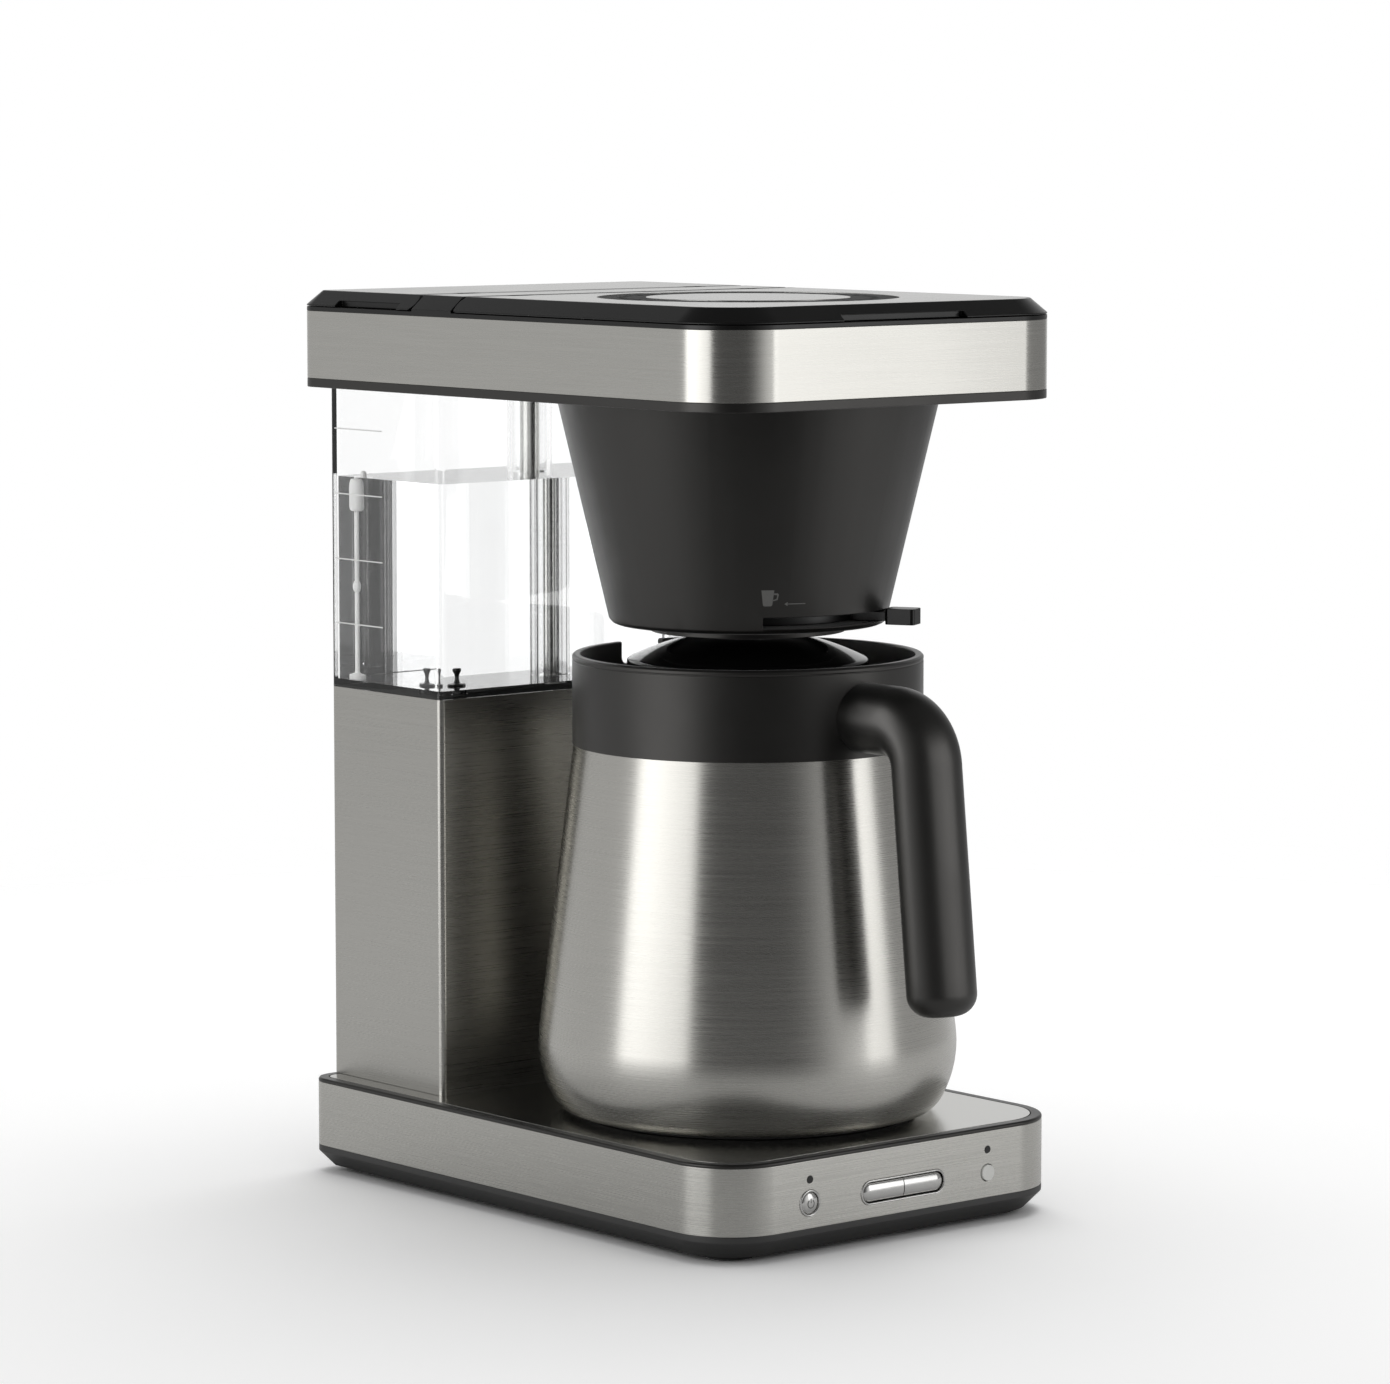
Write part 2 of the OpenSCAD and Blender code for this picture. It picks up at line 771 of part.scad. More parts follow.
module brew_bezel() color(bright) framed() {
    difference() {
        pill_y(brew_button_x, base_front - bezel_proud, base_front + band_t, control_z,
            brew_pill_l, brew_pill_h);
        pill_y(brew_button_x, base_front - 1, base_front + band_t + 1, control_z,
            brew_pill_l - 2 * brew_ring, brew_pill_h - 2 * brew_ring);
    }
}

module brew_button(side) {
    l = brew_pill_l - 2 * brew_ring - 2 * seat_gap;
    h = brew_pill_h - 2 * brew_ring - 2 * seat_gap;
    intersection() {
        pill_y(brew_button_x, base_front - button_proud, button_back, control_z, l, h);
        translate([brew_button_x + (side > 0 ? seat_gap / 2 : -l), base_front - 2, control_z - h])
            cube([l - seat_gap / 2, button_back - base_front + 3, 2 * h]);
    }
    button_stem(brew_button_x + side * brew_pill_l / 4);
}

module brew_button_left() color(bright) framed() {
    brew_button(-1);
}

module brew_button_right() color(bright) framed() {
    brew_button(1);
}

module clean_button() color(white) framed() {
    bar_y(clean_x, base_front - button_proud, button_back, control_z, clean_r);
    button_stem(clean_x);
}

module led(x) {
    bar_y(x, base_front - led_proud, board_y, control_z + led_rise, led_r);
}

module power_led() color(white) framed() {
    led(power_x);
}

module clean_led() color(white) framed() {
    led(clean_x);
}

// ---- column and water path ----

module column_shell() color(steel) framed() {
    difference() {
        column_block(plate_z, column_top, 0);
        column_block(plate_z - 1, column_top + 1, column_t);
        translate([column_flange - column_w / 2, base_rear - column_t - 1, plate_z - 1])
            cube([column_w - 2 * column_flange, column_t + 2, column_top - plate_z + 2]);
    }
}

module column_cover() color(black) framed() {
    lip_w = column_flange - column_r + eps;
    translate([column_flange - column_w / 2, base_rear - cover_t, plate_z])
        cube([column_w - 2 * column_flange, cover_t, shelf_z - plate_z]);
    for (side = [-1, 1])
        translate([side * (column_w / 2 - lip_w / 2 - column_r) - lip_w / 2, base_rear - cover_t, plate_z])
            cube([lip_w, cover_t - column_t, shelf_z - plate_z]);
}

module column_shelf() color(black) framed() {
    difference() {
        union() {
            column_block(shelf_z, column_top, column_t);
            translate([column_flange - column_w / 2, base_rear - cover_t, shelf_z])
                cube([column_w - 2 * column_flange, cover_t, cover_t]);
        }
        translate([riser_x, riser_y, shelf_z - 1])
            cylinder(h = cover_t + 2, r = riser_r);
        translate([outlet_x, outlet_y, shelf_z - 1])
            cylinder(h = cover_t + 2, r = outlet_r);
    }
}

module boiler_bracket() color(alloy) framed() {
    w = boiler_w + 2 * bracket_side;
    d = boiler_d + 2 * bracket_end;
    translate([-w / 2, boiler_y - d / 2, plate_z])
        cube([w, d, bracket_t]);
    for (x = [-1, 1], y = [-1, 1])
        translate([x * (boiler_w / 2 - post_in), boiler_y + y * (boiler_d / 2 - post_in), bracket_top - eps])
            cylinder(h = boiler_post + eps, r = post_r);
}

module boiler() color(alloy) framed() {
    difference() {
        union() {
            translate([0, 0, boiler_z])
                linear_extrude(boiler_h)
                    plan(boiler_w, boiler_y - boiler_d / 2, boiler_y + boiler_d / 2,
                        boiler_corner, boiler_corner);
            translate([riser_x, riser_y, boiler_top - eps])
                cylinder(h = boiler_stub_h, r = riser_r + boiler_stub_wall);
            bar_x(-boiler_w / 2 - stub_l, -boiler_w / 2 + eps, outlet_y, hose_z, hose_r);
        }
        translate([riser_x, riser_y, boiler_top - boiler_bore])
            cylinder(h = boiler_stub_h + boiler_bore + 1, r = riser_bore);
        bar_x(-boiler_w / 2 - stub_l - 1, -boiler_w / 2 + boiler_bore, outlet_y, hose_z, riser_bore);
    }
}

module thermostat() color(black) framed() {
    bar_x(boiler_w / 2, boiler_w / 2 + thermostat_t, boiler_y, boiler_z + boiler_h / 2, thermostat_r);
}

module check_valve() color(white) framed() {
    difference() {
        union() {
            translate([outlet_x, outlet_y, shelf_z - valve_len])
                cylinder(h = valve_len, r = valve_r);
            translate([outlet_x, outlet_y, shelf_z - eps])
                cylinder(h = cover_t + eps, r = outlet_r);
        }
        translate([outlet_x, outlet_y, shelf_z - valve_len - 1])
            cylinder(h = valve_len + cover_t + 2, r = outlet_r / 2);
    }
}

module hose_sweep(r) {
    translate([outlet_x, outlet_y, hose_z + hose_bend - eps])
        cylinder(h = shelf_z - valve_len - hose_z - hose_bend + eps, r = r);
    translate([outlet_x + hose_bend, outlet_y, hose_z + hose_bend])
        rotate([90, 0, 0])
            rotate([0, 0, 180])
                rotate_extrude(angle = 90)
                    translate([hose_bend, 0])
                        circle(r = r);
    bar_x(outlet_x + hose_bend - eps, -boiler_w / 2 - stub_l, outlet_y, hose_z, r);
}

module inlet_hose() color(white) framed() {
    hose_sweep(hose_r);
}

module riser_tube() color(alloy) framed() {
    translate([riser_x, riser_y, 0])
        ring_z(boiler_top + boiler_stub_h - eps, spout_z - spout_bend, riser_r, riser_bore);
}

inlet_reach = 5;
spout_tip_y = brew_y + shower_r + inlet_reach + spout_gap;

module spout_sweep(r, over) {
    translate([riser_x, riser_y - spout_bend, spout_z - spout_bend])
        rotate([90, 0, 90])
            rotate_extrude(angle = 90)
                translate([spout_bend, 0])
                    circle(r = r);
    bar_y(riser_x, spout_tip_y - over, riser_y - spout_bend + eps, spout_z, r);
}

module water_spout() color(soft_black) framed() {
    difference() {
        spout_sweep(riser_r, 0);
        spout_sweep(riser_bore, 1);
    }
}

// ---- tank ----

module water_tank() color(clear) framed() {
    difference() {
        union() {
            difference() {
                column_block(column_top, head_bottom, 0);
                column_block(column_top + tank_floor, head_bottom + 1, tank_wall);
            }
            translate([riser_x, riser_y, column_top + 1])
                cylinder(h = head_floor - column_top - 1, r = shroud_r);
        }
        translate([riser_x, riser_y, column_top - 1])
            cylinder(h = head_floor - column_top + 2, r = shroud_r - shroud_wall);
        translate([outlet_x, outlet_y, column_top - 1])
            cylinder(h = tank_floor + 2, r = outlet_r);
    }
}

module tank_outlet() color(soft_black) framed() {
    h = 7;
    translate([outlet_x, outlet_y, column_top])
        rotate_extrude()
            polygon([[1.2, 0], [outlet_r, 0], [outlet_r, tank_floor], [outlet_r + 0.8, tank_floor],
                [outlet_r + 0.8, tank_floor + 1], [1.8, tank_floor + h / 2],
                [outlet_r, tank_floor + h - 1], [outlet_r, tank_floor + h], [1.2, tank_floor + h]]);
}

guide_foot_t = 2;
guide_foot_over = 2.4;

module float_guide() color(white) framed() {
    translate([guide_x, guide_y, column_top + tank_floor]) {
        cylinder(h = guide_top - column_top - tank_floor, r = guide_r);
        cylinder(h = guide_foot_t, r = guide_r + guide_foot_over);
    }
}

module level_float() color(white) framed() {
    translate([guide_x, guide_y, 0])
        ring_z(float_top - float_h, float_top, float_r, guide_r + float_play);
}

// ---- head ----

fill_in = tank_wall + 4;

module head_tray() color(soft_black) framed() {
    difference() {
        union() {
            body_slab(head_bottom, head_band_z, 0);
            body_slab(head_band_z - eps, rim_z, band_t);
        }
        body_slab(head_floor, rim_z + 1, skin);
        on_brew_axis()
            translate([0, 0, head_bottom - 1])
                cylinder(h = tray_t + 2, r = basket_hole_r);
        column_block(head_bottom - 1, head_floor + 1, fill_in);
    }
}

module head_band() color(steel) framed() {
    difference() {
        body_slab(head_band_z, rim_z, 0);
        body_slab(head_band_z - 1, rim_z + 1, band_t);
    }
}

// The slab that both lids and the bridge are cut from, between two places in Y.
module lid_slab(y0, y1) {
    intersection() {
        union() {
            body_slab(lid_z, lid_z + 0.5, 0);
            leaning_slab(lid_z + 0.5, machine_h, 0, lid_in);
        }
        translate([-body_w, y0, lid_z - 1])
            cube([2 * body_w, y1 - y0, lid_t + 2]);
    }
}

lug_t = 3.6;
lug_play = 0.3;
bridge_wall = 2.5;
bridge_skin = 2.6;
stay_w = 10;
stay_in = 8;

module lugs() {
    for (side = [-1, 1])
        translate([side * lug_x - lug_w / 2, 0, 0])
            children();
}

module head_rim() color(black) framed() {
    difference() {
        union() {
            difference() {
                body_slab(rim_z, rim_z + rim_t, 0);
                body_slab(rim_z - 1, rim_z + rim_t + 1, rim_w);
            }
            intersection() {
                body_slab(rim_z, lid_z + 0.1, 0);
                translate([-body_w, bridge_front, rim_z])
                    cube([2 * body_w, bridge_d, lid_z + 1 - rim_z]);
            }
            lid_slab(bridge_front, bridge_rear);
            lugs() {
                translate([0, bridge_rear - 1, hinge_z - lug_t / 2])
                    cube([lug_w, tank_hinge_y - bridge_rear + 1, lug_t]);
                bar_x(0, lug_w, tank_hinge_y, hinge_z, hinge_r - lug_play);
                translate([0, brew_hinge_y, hinge_z - lug_t / 2])
                    cube([lug_w, bridge_front - brew_hinge_y + 1, lug_t]);
                bar_x(0, lug_w, brew_hinge_y, hinge_z, hinge_r - lug_play);
            }
        }
        for (y = [tank_hinge_y, brew_hinge_y])
            bar_x(-pin_half - 1, pin_half + 1, y, hinge_z, pin_r + 0.02);
        translate([rim_w - body_w / 2, bridge_front + bridge_wall, rim_z - 1])
            cube([body_w - 2 * rim_w, bridge_d - 2 * bridge_wall, machine_h - bridge_skin - rim_z + 1]);
        translate([lid_in + sheet_in - body_w / 2, bridge_front + sheet_in, machine_h - sheet_t])
            cube([body_w - 2 * lid_in - 2 * sheet_in, bridge_d - 2 * sheet_in, sheet_t + 1]);
    }
    translate([-stay_w / 2, bridge_front + stay_in, spout_z + riser_r])
        cube([stay_w, bridge_d - 2 * stay_in, machine_h - bridge_skin - spout_z - riser_r + eps]);
}

module bridge_plate() color(bright) framed() {
    translate([lid_in + sheet_in - body_w / 2, bridge_front + sheet_in, machine_h - sheet_t])
        cube([body_w - 2 * lid_in - 2 * sheet_in, bridge_d - 2 * sheet_in, sheet_t]);
}

module hinge_pin(y) {
    bar_x(-pin_half, pin_half, y, hinge_z, pin_r);
}

module tank_lid_pin() color(steel) framed() {
    hinge_pin(tank_hinge_y);
}

module brew_lid_pin() color(steel) framed() {
    hinge_pin(brew_hinge_y);
}

// A lid's frame: side is +1 behind its hinge, -1 in front of it.
module lid_frame(hinge_y, side) {
    far = side > 0 ? head_rear + 1 : head_front - 1;
    intersection() {
        lid_slab(head_front - 1, head_rear + 1);
        union() {
            translate([-body_w, min(hinge_y, far), lid_z - 1])
                cube([2 * body_w, abs(far - hinge_y), lid_t + 2]);
            bar_x(-body_w, body_w, hinge_y, hinge_z, hinge_r);
        }
    }
}

module hinge_cuts(hinge_y) {
    bar_x(-pin_half - 0.5, pin_half + 0.5, hinge_y, hinge_z, pin_r + pin_play);
    for (s = [-1, 1])
        translate([s * lug_x - lug_w / 2 - lid_play, hinge_y - hinge_r - 0.6, lid_z - 1])
            cube([lug_w + 2 * lid_play, 2 * hinge_r + 1.2, lid_t + 2]);
}

sheet_setback = hinge_r + 1.2;
web_t = 3.2;
pocket_in = rim_w + 1;

// The plan of a lid's sheet, from its hinge side to the outline.
module sheet_plan(hinge_y, side, d) {
    far = side > 0 ? head_rear : head_front;
    start = hinge_y + side * sheet_setback;
    intersection() {
        body_plan(d);
        translate([-body_w, min(start, far)])
            square([2 * body_w, abs(far - start)]);
    }
}

module sheet_block(hinge_y, side, d, z0, z1) {
    translate([0, 0, z0])
        linear_extrude(z1 - z0)
            sheet_plan(hinge_y, side, d);
}

nail_h = 2.4;
nail_d = 3.6;
nail_w = 62;
nail_side_l = 40;
nail_side_in = 6.6;
nail_side_y = tank_hinge_y + nail_side_in + nail_side_l / 2;

module tank_lid_frame() color(black) framed() {
    difference() {
        lid_frame(tank_hinge_y, 1);
        hinge_cuts(tank_hinge_y);
        sheet_block(tank_hinge_y, 1, lid_in + sheet_in, machine_h - sheet_t, machine_h + 1);
        sheet_block(tank_hinge_y, 1, pocket_in, lid_z - 1, machine_h - web_t);
        for (side = [-1, 1])
            translate([side * body_w / 2 - nail_d, nail_side_y - nail_side_l / 2, lid_z - 1])
                cube([2 * nail_d, nail_side_l, nail_h + 1]);
    }
}

module tank_lid_plate() color(bright) framed() {
    sheet_block(tank_hinge_y, 1, lid_in + sheet_in, machine_h - sheet_t, machine_h);
}

ring_t = 1.3;
ring_sink = 0.3;

module brew_lid_frame() color(black) framed() {
    difference() {
        lid_frame(brew_hinge_y, -1);
        hinge_cuts(brew_hinge_y);
        sheet_block(brew_hinge_y, -1, lid_in + sheet_in, machine_h - sheet_t, machine_h + 1);
        sheet_block(brew_hinge_y, -1, pocket_in, lid_z - 1, machine_h - web_t);
        on_brew_axis()
            translate([0, 0, machine_h - ring_t - ring_sink])
                cylinder(h = ring_t + 1, r = vent_r);
        translate([brew_button_x - nail_w / 2, head_front - 1, lid_z - 1])
            cube([nail_w, nail_d + 1, nail_h + 1]);
    }
}

module brew_lid_plate() color(bright) framed() {
    difference() {
        sheet_block(brew_hinge_y, -1, lid_in + sheet_in, machine_h - sheet_t, machine_h);
        on_brew_axis()
            translate([0, 0, machine_h - 2])
                cylinder(h = 3, r = vent_r);
    }
}

module brew_lid_ring() color(black) framed() {
    on_brew_axis()
        difference() {
            ring_z(machine_h - ring_t - ring_sink, machine_h - ring_sink, vent_r, vent_inner_r);
            for (i = [0:vent_holes - 1])
                rotate([0, 0, i * 360 / vent_holes])
                    translate([(vent_r + vent_inner_r) / 2, 0, machine_h - ring_t - 1])
                        cylinder(h = ring_t + 2, r = vent_hole_r);
        }
}

module brew_lid_disc() color(bright) framed() {
    on_brew_axis()
        translate([0, 0, machine_h - ring_t - ring_sink])
            cylinder(h = ring_t + ring_sink, r = vent_inner_r);
}

inlet_w = 16;
shower_z = machine_h - shower_drop;
shower_top = shower_z + shower_t;
shower_skin = 2;
shower_fall = 8;
shower_pitch = 11;

module shower_head() color(soft_black) framed() {
    inlet_y = shower_r + inlet_reach;
    on_brew_axis()
        difference() {
            union() {
                translate([0, 0, shower_z])
                    cylinder(h = shower_t, r = shower_r);
                translate([0, 0, shower_top - eps])
                    cylinder(h = machine_h - web_t - shower_top + eps, r = shower_neck_r);
                translate([-inlet_w / 2, shower_neck_r, shower_top - 4])
                    cube([inlet_w, inlet_y - shower_neck_r, spout_z + riser_r + 2 - shower_top + 4]);
            }
            translate([0, 0, shower_z + shower_skin])
                cylinder(h = shower_t - 2 * shower_skin, r = shower_r - 3);
            bar_y(0, shower_neck_r + shower_fall - 2, inlet_y + 1, spout_z, riser_r + 0.6);
            translate([0, shower_neck_r + shower_fall, shower_z + shower_skin + 1])
                cylinder(h = spout_z - shower_z - shower_skin - 1, r = riser_bore);
            for (ring = [1, 2, 3], i = [0:ring * 4 - 1])
                rotate([0, 0, i * 90 / ring])
                    translate([ring * shower_pitch, 0, shower_z - 1])
                        cylinder(h = shower_skin + 2, r = shower_hole_r);
        }
}

// ---- basket ----

function cone_r(z) = basket_foot_r + basket_slope * (z - basket_z);

rib_end_drop = 8;
rib_slant_h = 6;
rib_end_z = head_bottom - rib_end_drop;
rib_slant_z = rib_end_z - rib_slant_h;

module brew_basket() color(soft_black) framed() {
    rim_top = head_floor + flange_t;
    on_brew_axis()
        difference() {
            union() {
                rotate_extrude()
                    polygon([[drain_r, valve_z], [drain_out_r, valve_z], [drain_out_r, basket_floor_z],
                        [cone_r(basket_floor_z) - basket_wall, basket_floor_z],
                        [cone_r(basket_z) - basket_wall, basket_z], [cone_r(basket_z) - 2, basket_z],
                        [cone_r(basket_z) - 0.6, basket_z + 0.6], [cone_r(basket_z + 2), basket_z + 2],
                        [cone_r(head_floor), head_floor], [flange_r, head_floor], [flange_r, rim_top],
                        [cone_r(rim_top) - basket_wall, rim_top],
                        [cone_r(basket_in_z) - basket_wall, basket_in_z],
                        [drain_r + 6, basket_in_z], [drain_r, basket_in_z - 1]]);
                for (i = [0:basket_ribs - 1])
                    rotate([90, 0, i * 360 / basket_ribs])
                        translate([0, 0, -0.6])
                            linear_extrude(1.2)
                                polygon([[cone_r(basket_in_z) - basket_wall + 0.5, basket_in_z - 0.5],
                                    [cone_r(basket_in_z) - basket_wall - rib_h, basket_in_z - 0.5],
                                    [cone_r(rib_slant_z) - basket_wall - rib_h, rib_slant_z],
                                    [cone_r(rib_end_z) - basket_wall + 0.5, rib_end_z]]);
            }
            rotate([0, 0, -90 - slot_half])
                rotate_extrude(angle = 2 * slot_half)
                    translate([basket_foot_r - basket_wall - 2, lever_z - 0.4])
                        square([basket_wall + 6, lever_t + 0.8]);
        }
}

module basket_base() color(black) framed() {
    on_brew_axis()
        difference() {
            union() {
                translate([0, 0, basket_z])
                    cylinder(h = basket_base_t, r = basket_foot_r - basket_wall);
                ring_z(basket_ring_z, basket_z + eps, basket_ring_r, basket_ring_r - basket_ring_w);
            }
            translate([0, 0, basket_z - 1])
                cylinder(h = basket_base_t + 2, r = drain_r);
        }
}

module drip_lever() color(black) framed() {
    on_brew_axis()
        rotate([0, 0, lever_rest])
            difference() {
                union() {
                    translate([0, 0, lever_z])
                        cylinder(h = lever_t, r = lever_disc_r);
                    translate([0, -lever_w / 2, lever_z])
                        cube([lever_reach - knob_l / 2, lever_w, lever_t]);
                    translate([lever_reach - knob_l, 0, lever_z + lever_t / 2 - knob_h / 2])
                        linear_extrude(knob_h)
                            translate([knob_l / 2, 0])
                                plan(knob_l, -knob_w / 2, knob_w / 2, 1.6, 1.6);
                }
                translate([0, 0, lever_z - 1])
                    cylinder(h = lever_t + 2, r = drain_out_r + lever_play);
            }
}

// ---- carafe ----

belly_r = carafe_r - belly_curve;
belly_z = carafe_z + carafe_belly_z;
neck_z = collar_z - neck_h;
foot_top = carafe_z + carafe_foot_t;
fillet_z = carafe_z + carafe_fillet;
fillet_link = belly_curve - carafe_fillet;
fillet_angle = asin((belly_z - fillet_z) / fillet_link);
fillet_r = belly_r + fillet_link * cos(fillet_angle);
neck_dir = atan2(neck_z - belly_z, neck_r - belly_r);
neck_far = norm([neck_r - belly_r, neck_z - belly_z]);
belly_top = neck_dir - acos(belly_curve / neck_far);

function arc(cx, cz, r, a0, a1, n) = [for (i = [0:n]) [cx + r * cos(a0 + (a1 - a0) * i / n),
    cz + r * sin(a0 + (a1 - a0) * i / n)]];

// The carafe's side from its foot to the collar, set in by d.
function carafe_side(d) = concat(
    arc(fillet_r, fillet_z, carafe_fillet - d, -90, -fillet_angle, 7),
    arc(belly_r, belly_z, belly_curve - d, -fillet_angle + 3, belly_top, 8),
    [[neck_r - d, neck_z]]);

liner_in = steel_t + vacuum_gap;

module carafe_shell() color(steel) framed() {
    outer = carafe_side(0);
    inner = carafe_side(steel_t);
    on_brew_axis()
        rotate_extrude()
            polygon(concat([[0, foot_top], [fillet_r, foot_top]],
                [for (p = outer) if (p[1] > foot_top) p],
                [[neck_r, collar_z], [neck_in_r, collar_z], [neck_in_r, neck_top],
                [neck_in_r - steel_t, neck_top], [neck_in_r - steel_t, collar_z - steel_t],
                [neck_r - steel_t, collar_z - steel_t]],
                [for (i = [len(inner) - 1:-1:0]) if (inner[i][1] > foot_top + steel_t) inner[i]],
                [[fillet_r - steel_t, foot_top + steel_t], [0, foot_top + steel_t]]));
}

liner_floor = foot_top + liner_in;

module carafe_liner() color(bright) framed() {
    outer = carafe_side(liner_in);
    inner = carafe_side(liner_in + steel_t);
    on_brew_axis()
        rotate_extrude()
            polygon(concat([[0, liner_floor], [fillet_r - liner_in, liner_floor]],
                [for (p = outer) if (p[1] > liner_floor + 1) p],
                [[mouth_r, collar_z - 6], [mouth_r, neck_top - steel_t],
                [neck_in_r - steel_t, neck_top - steel_t], [neck_in_r - steel_t, neck_top],
                [mouth_r - steel_t, neck_top], [mouth_r - steel_t, collar_z - 6 - steel_t]],
                [for (i = [len(inner) - 1:-1:0]) if (inner[i][1] > liner_floor + 1 + steel_t) inner[i]],
                [[fillet_r - liner_in - steel_t, liner_floor + steel_t], [0, liner_floor + steel_t]]));
}

module carafe_foot() color(soft_black) framed() {
    on_brew_axis()
        translate([0, 0, carafe_z])
            cylinder(h = carafe_foot_t, r = fillet_r);
}

groove_drop = 2.2;
screw_seat = neck_in_r + 1.8;
collar_in_r = collar_r - collar_wall;

module carafe_collar() color(soft_black) framed() {
    on_brew_axis()
        difference() {
            rotate_extrude()
                polygon([[neck_in_r, collar_z], [collar_r, collar_z],
                    [collar_r, collar_top - groove_drop - 0.3], [collar_r - 0.3, collar_top - groove_drop],
                    [collar_r, collar_top - groove_drop + 0.3], [collar_r, collar_top - 0.8],
                    [collar_r - 0.8, collar_top], [collar_in_r + 0.4, collar_top],
                    [collar_in_r, collar_top - 0.4], [collar_in_r, ledge_top], [ledge_r, ledge_top],
                    [ledge_r, neck_top], [neck_in_r, neck_top]]);
            translate([-notch_w / 2, 0, collar_top - notch_d + 3])
                cube([notch_w, collar_r + 1, notch_d]);
            translate([-notch_w / 2 + 3, 0, collar_top - notch_d])
                cube([notch_w - 6, collar_r + 1, notch_d]);
            for (side = [-1, 1])
                translate([side * (notch_w / 2 - 3), 0, collar_top - notch_d + 3])
                    rotate([-90, 0, 0])
                        cylinder(h = collar_r + 1, r = 3);
            for (side = [-1, 1]) {
                bar_y(side * handle_screw_x, -collar_r - 1, -neck_in_r + 6, arm_z, handle_screw_r);
                bar_y(side * handle_screw_x, -screw_seat, -neck_in_r + 6, arm_z, handle_screw_r + 1.6);
            }
        }
}

// The handle's bend is this much slimmer than the arm and the grip, which lap over its ends.
bend_step = 0.12;
bend_lap = 0.4;

// The grip: a round bar with a rounded foot, standing on its foot.
module grip(l) {
    rotate_extrude()
        polygon(concat([[0, 0]], arc(grip_r - grip_round, grip_round, grip_round, -90, 0, 6),
            [[grip_r, l], [0, l]]));
}

module carafe_handle() color(soft_black) framed() {
    grip_len = (arm_z - handle_bend + handle_bend * sin(grip_lean) - grip_z) / cos(grip_lean);
    bend_out = grip_out - grip_len * sin(grip_lean) - handle_bend * cos(grip_lean);
    on_brew_axis()
        difference() {
            union() {
                bar_y(0, -bend_out - bend_lap, 0, arm_z, grip_r);
                translate([0, -bend_out, arm_z - handle_bend])
                    rotate([90, 0, -90])
                        rotate([0, 0, grip_lean])
                            rotate_extrude(angle = 90 - grip_lean)
                                translate([handle_bend, 0])
                                    circle(r = grip_r - bend_step);
                translate([0, -grip_out, grip_z])
                    rotate([-grip_lean, 0, 0])
                        grip(grip_len + bend_lap);
            }
            translate([0, 0, arm_z - 2 * grip_r])
                cylinder(h = 4 * grip_r, r = collar_r);
            for (side = [-1, 1])
                bar_y(side * handle_screw_x, -collar_r - handle_screw_len, 0, arm_z, handle_screw_r);
        }
}

module handle_screws() color(steel) framed() {
    on_brew_axis()
        for (side = [-1, 1]) {
            bar_y(side * handle_screw_x, -screw_seat, -neck_in_r - 0.2, arm_z, handle_screw_r + 1.4);
            bar_y(side * handle_screw_x, -collar_r - handle_screw_len, -screw_seat + eps, arm_z,
                handle_screw_r);
        }
}

// ---- carafe lid ----

lid_rim_h = 5;
lid_rim_t = 2.4;
trough_z = lid_z0 + 2.5;
skirt_r = mouth_r - steel_t - 2.5;
skirt_depth = 9;
gasket_drop = 6.5;
gasket_z = lid_z0 - gasket_drop;
gasket_h = 3;
pour_half = 10;
tube_drop = 5;
tube_wall = 1.4;

// Height of the dome's outside at radius r.
function dome_z(r) = dome_edge_z + dome_drop * (1 - pow((r - dome_top_r) / (dome_r - dome_top_r), 1.4));

module carafe_lid() color(black) framed() {
    steps = 7;
    dome = [for (i = [0:steps]) dome_r - (dome_r - dome_top_r) * i / steps];
    on_brew_axis()
        difference() {
            rotate_extrude()
                polygon(concat([[lid_rim_r, lid_z0], [lid_rim_r, lid_z0 + lid_rim_h],
                    [lid_rim_r - lid_rim_t, lid_z0 + lid_rim_h], [lid_rim_r - lid_rim_t, trough_z],
                    [dome_r, trough_z]],
                    [for (r = dome) [r, dome_z(r)]],
                    [[lid_hole_r + 3, carafe_top], [lid_hole_r, carafe_top - 2], [lid_hole_r, lid_z0],
                    [lid_hole_r + lid_wall, lid_z0], [lid_hole_r + lid_wall, carafe_top - lid_wall]],
                    [for (i = [steps:-1:0]) [dome[i] - lid_wall, dome_z(dome[i]) - lid_wall]],
                    [[dome_r - lid_wall, lid_z0], [skirt_r - lid_wall, lid_z0],
                    [skirt_r - lid_wall, lid_z0 - skirt_depth], [skirt_r, lid_z0 - skirt_depth],
                    [skirt_r, lid_z0]]));
            rotate([0, 0, 90 - pour_half])
                rotate_extrude(angle = 2 * pour_half)
                    translate([dome_r + 1.2, lid_z0 - 1])
                        square([skirt_r - lid_wall - dome_r - 1.6, trough_z - lid_z0 + 2]);
        }
}

module lid_gasket() color(white) framed() {
    on_brew_axis()
        ring_z(gasket_z, gasket_z + gasket_h, mouth_r - steel_t - lid_fit, skirt_r);
}

module lid_tube() color(black) framed() {
    on_brew_axis()
        ring_z(lid_z0 - lid_tube_len, carafe_top - tube_drop, lid_hole_r, lid_hole_r - tube_wall);
}

rubber_feet();
base_tray();
base_screws();
base_band();
base_deck();
base_plate();
cord_gland();
button_carrier();
control_board();
tact_switches();
power_bezel();
brew_bezel();
power_led();
clean_led();
power_button();
brew_button_left();
brew_button_right();
clean_button();
column_shell();
column_cover();
column_shelf();
boiler_bracket();
boiler();
thermostat();
check_valve();
inlet_hose();
riser_tube();
water_spout();
water_tank();
tank_outlet();
float_guide();
level_float();
head_tray();
head_band();
head_rim();
bridge_plate();
tank_lid_pin();
brew_lid_pin();
tank_lid_frame();
tank_lid_plate();
brew_lid_frame();
brew_lid_plate();
brew_lid_ring();
brew_lid_disc();
shower_head();
brew_basket();
basket_base();
drip_lever();
carafe_shell();
carafe_liner();
carafe_foot();
carafe_collar();
carafe_handle();
handle_screws();
